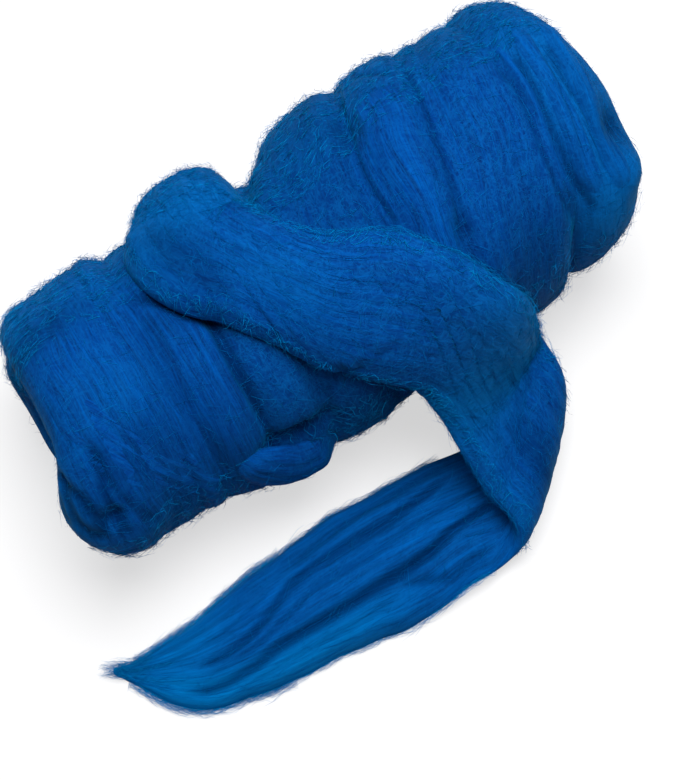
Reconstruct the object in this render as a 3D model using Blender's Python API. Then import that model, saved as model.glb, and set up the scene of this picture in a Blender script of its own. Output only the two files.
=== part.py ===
"""A bump of combed wool roving, resting on a table.

One continuous strand of fibre, as thick as a wrist and flattened, is wound into a fat roll. Its last
length comes up the roll's far side, crosses the top on a slant, slopes down the near side to the
table, folds under itself like a ribbon and runs back to a tapered, pulled-apart tip.

Two solids are made:

- wound_roll, the wound form with its overlapping turns, soft rims and dimpled ends, and a flat spot
  below, where its own weight presses it to the table;
- loose_end, the flattened strand that leaves it.

Frame: metres, +Z up, +X along the roll. The origin is the middle of the flat spot under the roll.
+Y is the far side, where the loose end comes up, and -Y the near side, where it runs along the table.
Angles round the roll start on the far side and go over the top to the near side.
"""

import math
from typing import NamedTuple

import bmesh
import bpy
import numpy as np

# The roll's length between its two end faces, and how its rims and faces are shaped.
LEFT_FACE = -0.168
RIGHT_FACE = 0.163
LEFT_RIM = 0.021
RIGHT_RIM = 0.017
DIMPLE_DEPTH = 0.014
DIMPLE_SHARE = 0.62
FACE_COIL_PITCH = 0.021
FACE_COIL_RELIEF = 0.0016
MEAN_RADIUS = 0.076

# The height of the bare roll's underside. Its turns reach lower, and the table presses them flat.
UNDERSIDE = 0.007
SQUARENESS = 0.94

# The mesh of each solid: rings along it, and points round each ring.
ROLL_RINGS, ROLL_AROUND = 84, 44
STRAND_RINGS, STRAND_AROUND = 84, 28

# The strand rides this far off the roll, and its underside spans creases narrower than this.
STRAND_GAP = 0.0009
CREASE_SPAN = 0.008

# The slope from the roll down to the table. Its right edge leaves the roll lower and is steeper.
SLOPE_RUN = 0.092
SLOPE_LEFT, SLOPE_RIGHT = 0.010, 0.090
LEAVES_AT = math.radians(137)
LEAVES_LOWER_BY = math.radians(16)
LANDED_Y = -0.122
LANDED_NEARER_BY = 0.030
LANDING_EASE = 1.3

# The ribbon fold: two points of its line in plan, and the mid-heights of the layers that it joins.
FOLD_FAR = (0.0650, -0.1078)
FOLD_TIP = (-0.0001, -0.1667)
UPPER_LAYER_FAR = 0.044
UPPER_LAYER_TIP = 0.031
LOWER_LAYER = 0.0095
RISE_FROM_FOLD = 1.10
RISE_EASES_IN = 0.020
SETTLING_RUN = 0.050

# The strand on the table lies in ridges, with valleys between them.
VALLEY_DEPTH = 0.50
VALLEY_WIDTH = 0.16

WOOL_BLUE = (0.004, 0.095, 0.42, 1.0)
WOOL_BLUE_PALE = (0.005, 0.115, 0.47, 1.0)
WOOL_ROUGHNESS = 0.72


class Section(NamedTuple):
    """The roll's size at one place along it: how far it reaches to each side, and its height."""

    x: float
    far: float
    near: float
    height: float


SECTIONS = (
    Section(x=-0.172, far=0.060, near=0.066, height=0.114),
    Section(x=-0.145, far=0.060, near=0.063, height=0.118),
    Section(x=-0.110, far=0.058, near=0.065, height=0.121),
    Section(x=-0.080, far=0.058, near=0.065, height=0.121),
    Section(x=-0.050, far=0.058, near=0.065, height=0.121),
    Section(x=-0.020, far=0.055, near=0.071, height=0.124),
    Section(x=0.010, far=0.062, near=0.073, height=0.130),
    Section(x=0.040, far=0.073, near=0.072, height=0.134),
    Section(x=0.070, far=0.072, near=0.072, height=0.136),
    Section(x=0.100, far=0.068, near=0.070, height=0.136),
    Section(x=0.130, far=0.067, near=0.067, height=0.136),
    Section(x=0.166, far=0.070, near=0.058, height=0.130),
)


class Turn(NamedTuple):
    """One turn of the strand round the roll, by the place of its middle on each side of the roll."""

    name: str
    far: float
    top: float
    near: float
    under: float
    half_width: float
    loft: float


# In the order in which they are wound, so that a later turn lies on an earlier one.
CORE_TURNS = (
    Turn("core_left", -0.120, -0.120, -0.120, -0.120, 0.052, 0.004),
    Turn("core_right", 0.100, 0.100, 0.090, 0.100, 0.060, 0.004),
)
OUTER_TURNS = (
    Turn("left_rim", -0.170, -0.174, -0.176, -0.174, 0.024, 0.006),
    Turn("belly", -0.040, -0.046, -0.046, -0.050, 0.041, 0.009),
    Turn("bright", -0.100, -0.104, -0.106, -0.100, 0.020, 0.009),
    Turn("left_drum", -0.128, -0.134, -0.142, -0.136, 0.034, 0.010),
    Turn("waist", 0.034, -0.004, -0.008, 0.010, 0.034, 0.009),
    Turn("fan", 0.086, 0.054, 0.042, 0.050, 0.026, 0.010),
    Turn("right_drum", 0.134, 0.112, 0.088, 0.110, 0.034, 0.010),
    Turn("right_rim", 0.166, 0.158, 0.150, 0.160, 0.034, 0.008),
)
SHOWS_THROUGH = 0.45
EDGE_BLUNTNESS = 2.8
EDGE_ROUNDING = 0.55
CREASE_DEPTH = 0.0040
CREASE_WIDTH = 0.0070


class Bulge(NamedTuple):
    """A soft lump on the roll: its place, its reach along and round the roll, and its height."""

    name: str
    x: float
    angle: float
    along: float
    round: float
    loft: float


BULGES = (
    Bulge("belly_swell", x=-0.045, angle=175, along=0.034, round=34, loft=0.006),
    Bulge("tucked_loop", x=-0.064, angle=203, along=0.022, round=22, loft=0.014),
    Bulge("left_corner", x=-0.172, angle=148, along=0.020, round=34, loft=0.016),
    Bulge("right_shoulder", x=0.140, angle=150, along=0.026, round=34, loft=0.005),
    Bulge("waist_swell", x=0.030, angle=20, along=0.024, round=30, loft=0.004),
)


class StrandOnRoll(NamedTuple):
    """The strand where it lies on the roll, by the angle round the roll that it has reached."""

    angle: float
    x: float
    half_width: float
    half_thickness: float


ON_THE_ROLL = (
    StrandOnRoll(angle=-62, x=-0.044, half_width=0.010, half_thickness=0.0013),
    StrandOnRoll(angle=-52, x=-0.044, half_width=0.021, half_thickness=0.0028),
    StrandOnRoll(angle=-25, x=-0.046, half_width=0.026, half_thickness=0.0062),
    StrandOnRoll(angle=15, x=-0.047, half_width=0.027, half_thickness=0.0090),
    StrandOnRoll(angle=45, x=-0.054, half_width=0.030, half_thickness=0.0095),
    StrandOnRoll(angle=70, x=-0.062, half_width=0.038, half_thickness=0.0085),
    StrandOnRoll(angle=90, x=-0.051, half_width=0.036, half_thickness=0.0080),
    StrandOnRoll(angle=110, x=-0.029, half_width=0.035, half_thickness=0.0080),
    StrandOnRoll(angle=130, x=0.000, half_width=0.040, half_thickness=0.0080),
)


class StrandBeyond(NamedTuple):
    """The strand past the roll, by its place in plan."""

    x: float
    y: float
    half_width: float
    half_thickness: float


ON_THE_SLOPE = (
    StrandBeyond(x=0.036, y=-0.087, half_width=0.040, half_thickness=0.0085),
    StrandBeyond(x=0.043, y=-0.108, half_width=0.035, half_thickness=0.0088),
)
ON_THE_TABLE = (
    StrandBeyond(x=-0.004, y=-0.1435, half_width=0.0390, half_thickness=0.0090),
    StrandBeyond(x=-0.024, y=-0.1410, half_width=0.0405, half_thickness=0.0095),
    StrandBeyond(x=-0.058, y=-0.1385, half_width=0.0375, half_thickness=0.0095),
    StrandBeyond(x=-0.091, y=-0.1350, half_width=0.0320, half_thickness=0.0090),
    StrandBeyond(x=-0.128, y=-0.1335, half_width=0.0285, half_thickness=0.0080),
    StrandBeyond(x=-0.161, y=-0.1315, half_width=0.0225, half_thickness=0.0065),
    StrandBeyond(x=-0.186, y=-0.1245, half_width=0.0145, half_thickness=0.0045),
    StrandBeyond(x=-0.204, y=-0.1175, half_width=0.0075, half_thickness=0.0028),
    StrandBeyond(x=-0.212, y=-0.1140, half_width=0.0025, half_thickness=0.0016),
)


class Valley(NamedTuple):
    """A valley along the strand on the table: its place across, from -1 to 1, near and far."""

    name: str
    at_fold: float
    at_tip: float


VALLEYS = (
    Valley("near_edge", at_fold=-0.40, at_tip=-0.62),
    Valley("middle", at_fold=0.45, at_tip=0.02),
    Valley("far_edge", at_fold=0.86, at_tip=0.62),
)


def smooth_through(places, values, at):
    """Values read at `at` from a smooth curve through a table's points."""
    places, values = np.asarray(places, float), np.asarray(values, float)
    at = np.clip(at, places[0], places[-1])
    slopes = np.gradient(values, places, axis=0)
    right = np.clip(np.searchsorted(places, at, side="right"), 1, len(places) - 1)
    left = right - 1
    span = places[right] - places[left]
    t = (at - places[left]) / span
    if values.ndim > 1:
        t, span = t[..., None], span[..., None]
    return (
        values[left] * (1 + 2 * t) * (1 - t) ** 2
        + slopes[left] * span * t * (1 - t) ** 2
        + values[right] * t**2 * (3 - 2 * t)
        + slopes[right] * span * t**2 * (t - 1)
    )


def smooth_step(t):
    t = np.clip(t, 0.0, 1.0)
    return t * t * (3 - 2 * t)


def soft_edge(across):
    """A strand's height across its width, from -1 to 1: full in the middle, rounded at its edges."""
    inside = np.clip(1 - np.abs(across) ** EDGE_BLUNTNESS, 0.0, 1.0)
    return inside**EDGE_ROUNDING


def roll_profile(along):
    """Where a place along the roll's profile lies: its x, and its share of the roll's radius there.

    Between the rims, `along` is x itself. Past them it goes on round the rim and over the end face.
    """
    x, share = along.copy(), np.ones_like(along)
    for face, rim, side in ((LEFT_FACE, LEFT_RIM, -1), (RIGHT_FACE, RIGHT_RIM, 1)):
        past = side * along - (side * face - rim)
        turned = np.clip(past / rim, 0.0, math.pi / 2)
        inward = np.clip(past - rim * math.pi / 2, 0.0, None)
        here = 1 - (rim * (1 - np.cos(turned)) + inward) / MEAN_RADIUS
        dimple = DIMPLE_DEPTH * smooth_step(1 - here / DIMPLE_SHARE)
        end_x = face - side * rim + side * (rim * np.sin(turned) - dimple)
        x = np.where(past > 0, end_x, x)
        share = np.where(past > 0, np.clip(here, 0.0, 1.0), share)
    return x, share


def profile_reach():
    """The places along the profile of the two end faces' middles."""
    left = LEFT_FACE + LEFT_RIM - LEFT_RIM * math.pi / 2 - (MEAN_RADIUS - LEFT_RIM)
    right = RIGHT_FACE - RIGHT_RIM + RIGHT_RIM * math.pi / 2 + (MEAN_RADIUS - RIGHT_RIM)
    return left, right


def round_power(value):
    return np.sign(value) * np.abs(value) ** SQUARENESS


def bare_roll(along, angle):
    """The roll's surface before its turns are laid on it."""
    x, share = roll_profile(along)
    sizes = [(s.far, s.near, s.height) for s in SECTIONS]
    far, near, height = np.moveaxis(smooth_through([s.x for s in SECTIONS], sizes, x), -1, 0)
    y = (far - near) / 2 + share * (far + near) / 2 * round_power(np.cos(angle))
    z = UNDERSIDE + height / 2 + share * height / 2 * round_power(np.sin(angle))
    return np.stack([x, y, z], axis=-1)


def turn_middle(turn, angle):
    """The place along the roll of a turn's middle, at each angle round it."""
    quarters = np.radians([-90, 0, 90, 180, 270, 360, 450])
    places = (turn.under, turn.far, turn.top, turn.near, turn.under, turn.far, turn.top)
    return smooth_through(quarters, places, np.mod(angle, 2 * math.pi))


def lay(place, angle):
    """Where a ring that follows the turns lies at an angle, from the place where it crosses the top."""
    turns = sorted(OUTER_TURNS, key=lambda turn: turn.top)
    first, last = profile_reach()
    tops = np.array([first, *(turn.top for turn in turns), last])
    ends = np.zeros_like(angle)
    slides = np.array([ends, *(turn_middle(turn, angle) - turn.top for turn in turns), ends])
    right = np.clip(np.searchsorted(tops, place, side="right"), 1, len(tops) - 1)
    t = smooth_step((place - tops[right - 1]) / (tops[right] - tops[right - 1]))
    each = np.arange(len(place))
    return place + slides[right - 1, each] * (1 - t) + slides[right, each] * t


def turns_height(along, angle):
    """How high the wound turns and their lumps stand over the bare roll."""
    height, crease = np.zeros_like(along), np.zeros_like(along)
    for turn in CORE_TURNS + OUTER_TURNS:
        off = np.abs(along - turn_middle(turn, angle))
        cover = soft_edge(off / turn.half_width)
        height = height * (1 - (1 - SHOWS_THROUGH) * cover) + turn.loft * cover
        edge = np.exp(-(((off - turn.half_width) / CREASE_WIDTH) ** 2))
        crease = np.maximum(crease * (1 - cover), CREASE_DEPTH * edge)
    height = height - crease * (0.3 + 0.7 * smooth_step(0.4 + np.sin(angle)))
    for bulge in BULGES:
        off = np.mod(angle - math.radians(bulge.angle) + math.pi, 2 * math.pi) - math.pi
        spread = ((along - bulge.x) / bulge.along) ** 2 + (off / math.radians(bulge.round)) ** 2
        height = height + bulge.loft * np.exp(-spread)
    return height


def unevenness(along, angle):
    """Slow swells of the soft wool, a millimetre or so high."""
    return 0.0012 * (
        np.sin(58 * along + 2 * angle + 0.6)
        + 0.7 * np.sin(97 * along - 3 * angle + 2.1)
        + 0.5 * np.sin(151 * along + 5 * angle + 4.0)
    )


def face_coils(along, angle):
    """The edges of the wound layers, which show on the end faces as one spiral."""
    _, share = roll_profile(along)
    on_face = smooth_step((0.85 - share) / 0.2) * smooth_step(share / 0.15)
    return FACE_COIL_RELIEF * on_face * np.cos(2 * math.pi * share * MEAN_RADIUS / FACE_COIL_PITCH + angle)


def roll_height(along, angle):
    return turns_height(along, angle) + unevenness(along, angle) + face_coils(along, angle)


def roll_normals(along, angle):
    """Unit vectors that point out of the bare roll."""
    step = 1e-4
    by_angle = bare_roll(along, angle + step) - bare_roll(along, angle - step)
    by_place = bare_roll(along + step, angle) - bare_roll(along - step, angle)
    normals = np.cross(by_angle, by_place)
    return normals / np.maximum(np.linalg.norm(normals, axis=-1, keepdims=True), 1e-12)


def off_the_roll(along, angle, height):
    """Places at a height over the bare roll."""
    return bare_roll(along, angle) + roll_normals(along, angle) * height[..., None]


def support_height(along, angle):
    """The height of a smooth cover that touches the roll's high places and spans its creases."""
    steps = [(i * CREASE_SPAN, j * CREASE_SPAN / MEAN_RADIUS) for i in (-1, 0, 1) for j in (-1, 0, 1)]

    def highest(place, turned):
        return np.max([roll_height(place + i, turned + j) for i, j in steps], axis=0)

    return np.mean([highest(along + i, angle + j) for i, j in steps], axis=0)


class Fold:
    """The ribbon fold: past a line drawn in plan, the strand bends under and runs back mirrored."""

    tip = np.array(FOLD_TIP)
    length = math.dist(FOLD_FAR, FOLD_TIP)
    line = (np.array(FOLD_FAR) - np.array(FOLD_TIP)) / length
    outward = np.array((line[1], -line[0]))

    @classmethod
    def upper_height(cls, plan):
        """The upper layer's mid-height: it rises from the fold line back towards the roll."""
        share = np.clip((plan - cls.tip) @ cls.line / cls.length, 0.0, 1.3)
        before = np.maximum(-((plan - cls.tip) @ cls.outward), 0.0)
        rise = RISE_FROM_FOLD * before**2 / (before + RISE_EASES_IN)
        return UPPER_LAYER_TIP + (UPPER_LAYER_FAR - UPPER_LAYER_TIP) * share + rise

    @classmethod
    def unfold(cls, plan):
        """Where a place of the lower layer would be, had the strand run straight on."""
        behind = -((plan - cls.tip) @ cls.outward)
        on_line = plan + behind[..., None] * cls.outward
        radius = (cls.upper_height(on_line) - LOWER_LAYER) / 2
        return on_line + (behind + math.pi * radius)[..., None] * cls.outward

    @classmethod
    def bend(cls, plan, height, thickness):
        """Places in space of the strand's mid-surface, with all that lies past the line folded under."""
        past = (plan - cls.tip) @ cls.outward
        on_line = plan - past[..., None] * cls.outward
        radius = (cls.upper_height(on_line) - LOWER_LAYER) / 2
        turned = np.clip(past / radius, 0.0, math.pi)
        back = np.clip(past - math.pi * radius, 0.0, None)
        folded = on_line + (radius * np.sin(turned) - back)[..., None] * cls.outward
        bent_height = cls.upper_height(on_line) - radius * (1 - np.cos(turned))
        settled = smooth_step(back / SETTLING_RUN)
        bent_height = bent_height * (1 - settled) + thickness * settled
        folded_under = past > 0
        flat = np.where(folded_under[..., None], folded, plan)
        return np.concatenate([flat, np.where(folded_under, bent_height, height)[..., None]], axis=-1)


def to_the_right(x):
    """How far a place is from the slope's left edge, as a share of the way to its right edge."""
    return smooth_step((x - SLOPE_LEFT) / (SLOPE_RIGHT - SLOPE_LEFT))


def leaving_angle(x):
    return LEAVES_AT + LEAVES_LOWER_BY * to_the_right(x)


def landed_y(x):
    return LANDED_Y + LANDED_NEARER_BY * to_the_right(x)


def run_in_plan(x, y):
    """The distance run past the roll at a place in plan, along the slope and on past its foot."""
    leave_y = off_the_roll(np.array(x), leaving_angle(np.array(x)), np.array(0.018))[1]
    share = (leave_y - y) / (leave_y - landed_y(x))
    return SLOPE_RUN * np.minimum(share, 1.0) + np.maximum(landed_y(x) - y, 0.0)


def strand_middle():
    """The strand's middle line on a flat sheet, with its half width and half thickness.

    A row is x, the distance run past the place where the strand leaves the roll, and the two sizes.
    """
    rows = []
    for s in ON_THE_ROLL:
        run = MEAN_RADIUS * (math.radians(s.angle) - leaving_angle(s.x))
        rows.append((s.x, run, s.half_width, s.half_thickness))
    for s in ON_THE_SLOPE:
        rows.append((s.x, run_in_plan(s.x, s.y), s.half_width, s.half_thickness))
    for s in ON_THE_TABLE:
        x, y = Fold.unfold(np.array((s.x, s.y)))
        rows.append((x, run_in_plan(x, y), s.half_width, s.half_thickness))
    rows = np.array(rows)
    run = np.concatenate([[0.0], np.cumsum(np.hypot(*np.diff(rows[:, :2], axis=0).T))])
    return run / run[-1], rows


def strand_slope(x, share, leave, leaving):
    """The curve down from the roll to its foot: y and height, at a share of the way down."""
    foot_y = landed_y(x)
    foot_height = Fold.upper_height(np.stack([x, foot_y], axis=-1))
    foot = np.stack([foot_y, foot_height], axis=-1)
    step = 1e-3
    beyond = Fold.upper_height(np.stack([x, foot_y - step], axis=-1))
    drop = np.linalg.norm(foot - leave, axis=-1, keepdims=True)
    heading = np.stack([-np.ones_like(x), (beyond - foot_height) / step], axis=-1)
    landing = heading * LANDING_EASE * (leave[..., :1] - foot_y[..., None])
    t = share[..., None]
    return (
        leave * (1 + 2 * t) * (1 - t) ** 2
        + leaving * drop * t * (1 - t) ** 2
        + foot * t**2 * (3 - 2 * t)
        + landing * t**2 * (t - 1)
    )


def strand_surface(x, run, thickness):
    """The strand's mid-surface in space, at places on its flat sheet.

    On the roll and on the table it lies half its thickness over what is under it.
    """
    angle = leaving_angle(x) + np.minimum(run, 0.0) / MEAN_RADIUS
    lift = support_height(x, angle) + STRAND_GAP + thickness
    on_roll = off_the_roll(x, angle, lift)
    step = 1e-3
    leaving = (on_roll - off_the_roll(x, angle - step / MEAN_RADIUS, lift))[..., 1:] / step
    share = np.clip(run / SLOPE_RUN, 0.0, 1.0)
    slope = strand_slope(x, share, on_roll[..., 1:], leaving)
    plan = np.stack([x, slope[..., 0] - np.maximum(run - SLOPE_RUN, 0.0)], axis=-1)
    height = np.where(run < SLOPE_RUN, slope[..., 1], Fold.upper_height(plan))
    beyond = Fold.bend(plan, height, thickness)
    return np.where((run <= 0)[..., None], on_roll, beyond)


def ridges(share, across):
    """How much of its thickness the strand keeps where it lies in ridges on the table."""
    on_table = smooth_step((share - 0.58) / 0.10)
    kept = np.ones_like(across)
    for valley in VALLEYS:
        middle = valley.at_fold + (valley.at_tip - valley.at_fold) * np.clip((share - 0.6) / 0.4, 0, 1)
        kept = kept - VALLEY_DEPTH * on_table * np.exp(-(((across - middle) / VALLEY_WIDTH) ** 2))
    return kept


def strand_point(share, angle):
    """A place on the strand's outside: its share of the length, and the angle round its section."""
    places, rows = strand_middle()
    x, run, half_width, half_thickness = np.moveaxis(smooth_through(places, rows, share), -1, 0)
    step = 1e-3
    ahead = smooth_through(places, rows, share + step)[..., :2]
    behind = smooth_through(places, rows, share - step)[..., :2]
    heading = ahead - behind
    heading = heading / np.linalg.norm(heading, axis=-1, keepdims=True)
    across = np.cos(angle)
    at_x = x + across * half_width * heading[..., 1]
    at_run = run - across * half_width * heading[..., 0]
    body = half_thickness * np.sqrt(np.clip(1 - np.abs(across) ** 2.6, 0, 1))
    middle = strand_surface(at_x, at_run, body)
    by_x = strand_surface(at_x + step, at_run, body) - strand_surface(at_x - step, at_run, body)
    by_run = strand_surface(at_x, at_run + step, body) - strand_surface(at_x, at_run - step, body)
    normal = np.cross(by_run, by_x)
    normal = normal / np.maximum(np.linalg.norm(normal, axis=-1, keepdims=True), 1e-12)
    side = np.sign(np.sin(angle))
    top_side = np.where(side > 0, 1.0, ridges(share, across))
    return middle + normal * (side * body * top_side)[..., None]


def moulded_sphere(name, rings, around, mould):
    """A closed mesh: a UV sphere whose rings become the stations that `mould` places.

    `mould` takes each vertex's share of the way from pole to pole and its angle round the ring.
    """
    shape = bmesh.new()
    bmesh.ops.create_uvsphere(shape, u_segments=around, v_segments=rings, radius=1.0)
    unit = np.array([v.co for v in shape.verts])
    share = np.arccos(np.clip(unit[:, 2], -1, 1)) / math.pi
    angle = np.arctan2(unit[:, 1], unit[:, 0])
    for vertex, place in zip(shape.verts, mould(share, angle)):
        vertex.co = place
    bmesh.ops.recalc_face_normals(shape, faces=shape.faces)
    if shape.calc_volume(signed=True) < 0:
        bmesh.ops.reverse_faces(shape, faces=shape.faces)
    mesh = bpy.data.meshes.new(name)
    shape.to_mesh(mesh)
    shape.free()
    mesh.shade_smooth()
    made = bpy.data.objects.new(name, mesh)
    bpy.context.scene.collection.objects.link(made)
    return made


def wool_material(name, colour):
    material = bpy.data.materials.new(name)
    material.use_nodes = True
    shader = material.node_tree.nodes["Principled BSDF"]
    shader.inputs["Base Color"].default_value = colour
    shader.inputs["Roughness"].default_value = WOOL_ROUGHNESS
    shader.inputs["Metallic"].default_value = 0.0
    return material


def clear_scene():
    for old in list(bpy.data.objects):
        bpy.data.objects.remove(old, do_unlink=True)


def wound_roll():
    """The roll: rings from end face to end face, pressed flat where it meets the table."""
    first, last = profile_reach()

    def mould(share, angle):
        along = lay(first + (last - first) * share, angle)
        places = off_the_roll(along, angle, roll_height(along, angle))
        places[:, 2] = np.maximum(places[:, 2], 0.0)
        return places

    made = moulded_sphere("wound_roll", ROLL_RINGS, ROLL_AROUND, mould)
    made.data.materials.append(wool_material("wool_blue", WOOL_BLUE))


def loose_end():
    """The strand that leaves the roll: closed sections along its middle line."""
    made = moulded_sphere("loose_end", STRAND_RINGS, STRAND_AROUND, strand_point)
    made.data.materials.append(wool_material("wool_blue_pale", WOOL_BLUE_PALE))


def main():
    clear_scene()
    wound_roll()
    loose_end()


main()
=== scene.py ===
# %% [markdown]
# # A bump of combed wool roving
#
# Roving is wool that has been washed, combed and drawn out into one long, soft, untwisted strand.
# It is sold wound into a fat roll, called a bump. Nothing in it is woven or spun: the look comes
# from millions of fine fibres that all run the same way, and from the soft edges where one turn of
# the strand lies over the next.
#
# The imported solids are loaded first. They stay fixed, and every piece below is laid on them.

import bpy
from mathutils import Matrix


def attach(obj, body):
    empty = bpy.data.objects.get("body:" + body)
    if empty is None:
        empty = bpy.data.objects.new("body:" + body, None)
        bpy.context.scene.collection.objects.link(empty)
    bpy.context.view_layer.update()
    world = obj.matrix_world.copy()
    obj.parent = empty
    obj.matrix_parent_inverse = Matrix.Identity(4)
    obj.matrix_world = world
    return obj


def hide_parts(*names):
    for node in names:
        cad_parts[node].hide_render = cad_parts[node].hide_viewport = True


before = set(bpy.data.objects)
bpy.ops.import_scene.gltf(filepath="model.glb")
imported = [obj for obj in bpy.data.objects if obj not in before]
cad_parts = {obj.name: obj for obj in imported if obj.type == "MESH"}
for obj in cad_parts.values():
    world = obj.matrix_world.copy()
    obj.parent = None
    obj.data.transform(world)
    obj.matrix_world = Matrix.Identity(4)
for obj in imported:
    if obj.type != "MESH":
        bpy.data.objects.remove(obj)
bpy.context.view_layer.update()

# %% Tools for the rest
import math
from typing import NamedTuple

import bpy
import numpy as np
from mathutils import Matrix, Vector

# %% [markdown]
# ## The bare roll
#
# The roll lies on its side, so its size can be read off sections along X: how far it reaches to
# the far side and to the near side, and how high it stands. A table of sections and one smooth
# curve through it give every place between them. A sculpted mesh would do as well, but a table is
# easy to read and to mend, and the same formula can be sampled as finely as a close view needs.

# %% The roll's sections
LEFT_FACE, RIGHT_FACE = -0.168, 0.163
LEFT_RIM, RIGHT_RIM = 0.021, 0.017
MEAN_RADIUS = 0.076
DIMPLE_DEPTH, DIMPLE_SHARE = 0.014, 0.62
UNDERSIDE, SQUARENESS = 0.007, 0.94


class Section(NamedTuple):
    x: float
    far: float
    near: float
    height: float


SECTIONS = (
    Section(-0.172, 0.060, 0.066, 0.114),
    Section(-0.145, 0.060, 0.063, 0.118),
    Section(-0.110, 0.058, 0.065, 0.121),
    Section(-0.080, 0.058, 0.065, 0.121),
    Section(-0.050, 0.058, 0.065, 0.121),
    Section(-0.020, 0.055, 0.071, 0.124),
    Section(0.010, 0.062, 0.073, 0.130),
    Section(0.040, 0.073, 0.072, 0.134),
    Section(0.070, 0.072, 0.072, 0.136),
    Section(0.100, 0.068, 0.070, 0.136),
    Section(0.130, 0.067, 0.067, 0.136),
    Section(0.166, 0.070, 0.058, 0.130),
)
print("sections:", len(SECTIONS), "from", SECTIONS[0].x, "to", SECTIONS[-1].x)


# %% Smooth curves through tables
def cubic(start, leaving, end, arriving, t):
    """A curve from start to end with the slopes it has there. `t` is the share of the way."""
    return (
        start * (1 + 2 * t) * (1 - t) ** 2
        + leaving * t * (1 - t) ** 2
        + end * t**2 * (3 - 2 * t)
        + arriving * t**2 * (t - 1)
    )


def smooth_through(places, values, at):
    """Values read at `at` from a smooth curve through a table's points."""
    places, values = np.asarray(places, float), np.asarray(values, float)
    at = np.clip(at, places[0], places[-1])
    slopes = np.gradient(values, places, axis=0)
    right = np.clip(np.searchsorted(places, at, side="right"), 1, len(places) - 1)
    left = right - 1
    span = places[right] - places[left]
    t = (at - places[left]) / span
    if values.ndim > 1:
        t, span = t[..., None], span[..., None]
    return cubic(values[left], slopes[left] * span, values[right], slopes[right] * span, t)


def smooth_step(t):
    t = np.clip(t, 0.0, 1.0)
    return t * t * (3 - 2 * t)


def ramp(value, start, reach):
    """0 before `start` and 1 past its reach. It falls where the reach is negative."""
    return smooth_step((value - start) / reach)


def bell(off, reach):
    return np.exp(-((off / reach) ** 2))


def short_way(angle, middle):
    """The turn from `middle` to `angle`, the short way round."""
    return np.mod(angle - middle + math.pi, 2 * math.pi) - math.pi


def grid(rows, columns):
    return np.stack(np.meshgrid(rows, columns, indexing="ij"), axis=-1)


# %% The roll's profile, from one end face's middle to the other's
def roll_profile(along):
    """The x of a place along the profile, and its share of the roll's radius there."""
    x, share = along.copy(), np.ones_like(along)
    for face, rim, side in ((LEFT_FACE, LEFT_RIM, -1), (RIGHT_FACE, RIGHT_RIM, 1)):
        past = side * along - (side * face - rim)
        turned = np.clip(past / rim, 0.0, math.pi / 2)
        inward = np.clip(past - rim * math.pi / 2, 0.0, None)
        here = 1 - (rim * (1 - np.cos(turned)) + inward) / MEAN_RADIUS
        dimple = DIMPLE_DEPTH * smooth_step(1 - here / DIMPLE_SHARE)
        end_x = face - side * rim + side * (rim * np.sin(turned) - dimple)
        x = np.where(past > 0, end_x, x)
        share = np.where(past > 0, np.clip(here, 0.0, 1.0), share)
    return x, share


FIRST = LEFT_FACE + LEFT_RIM - LEFT_RIM * math.pi / 2 - (MEAN_RADIUS - LEFT_RIM)
LAST = RIGHT_FACE - RIGHT_RIM + RIGHT_RIM * math.pi / 2 + (MEAN_RADIUS - RIGHT_RIM)
print(f"profile length: {LAST - FIRST:.3f} m")


# %% The bare roll's surface
def round_power(value):
    return np.sign(value) * np.abs(value) ** SQUARENESS


def bare_roll(along, angle):
    """The roll before its turns. Angles run from the far side over the top to the near side."""
    x, share = roll_profile(along)
    sizes = [(s.far, s.near, s.height) for s in SECTIONS]
    far, near, height = np.moveaxis(smooth_through([s.x for s in SECTIONS], sizes, x), -1, 0)
    y = (far - near) / 2 + share * (far + near) / 2 * round_power(np.cos(angle))
    z = UNDERSIDE + height / 2 + share * height / 2 * round_power(np.sin(angle))
    return np.stack([x, y, z], axis=-1)


def unit(vectors):
    return vectors / np.maximum(np.linalg.norm(vectors, axis=-1, keepdims=True), 1e-12)


def roll_normals(along, angle):
    step = 1e-4
    by_angle = bare_roll(along, angle + step) - bare_roll(along, angle - step)
    by_place = bare_roll(along + step, angle) - bare_roll(along - step, angle)
    return unit(np.cross(by_angle, by_place))


def off_the_roll(along, angle, height):
    return bare_roll(along, angle) + roll_normals(along, angle) * height[..., None]


# %% [markdown]
# ## The turns
#
# A turn is the strand going once round the roll. It wanders from side to side as it goes, so each
# turn has its own middle on the far side, the top, the near side and below. Where one turn lies
# over another it stands proud, and a soft crease runs along its edge. Small lumps are added where
# the strand was tucked or bent back at the end of a pass.

# %% The table of turns
class Turn(NamedTuple):
    name: str
    far: float
    top: float
    near: float
    under: float
    half_width: float
    loft: float


CORE_TURNS = (
    Turn("core_left", -0.120, -0.120, -0.120, -0.120, 0.052, 0.004),
    Turn("core_right", 0.100, 0.100, 0.090, 0.100, 0.060, 0.004),
)
OUTER_TURNS = (
    Turn("left_rim", -0.170, -0.174, -0.176, -0.174, 0.024, 0.006),
    Turn("belly", -0.040, -0.046, -0.046, -0.050, 0.041, 0.009),
    Turn("bright", -0.096, -0.098, -0.101, -0.097, 0.022, 0.009),
    Turn("left_drum", -0.134, -0.143, -0.145, -0.138, 0.034, 0.010),
    Turn("waist", 0.034, -0.002, -0.005, 0.010, 0.037, 0.009),
    Turn("fan", 0.086, 0.054, 0.042, 0.050, 0.026, 0.010),
    Turn("right_drum", 0.134, 0.107, 0.080, 0.106, 0.036, 0.010),
    Turn("right_rim", 0.166, 0.158, 0.150, 0.160, 0.034, 0.008),
)
SHOWS_THROUGH = 0.45
EDGE_BLUNTNESS, EDGE_ROUNDING = 2.8, 0.55
CREASE_DEPTH, CREASE_WIDTH = 0.0040, 0.0070


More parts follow.
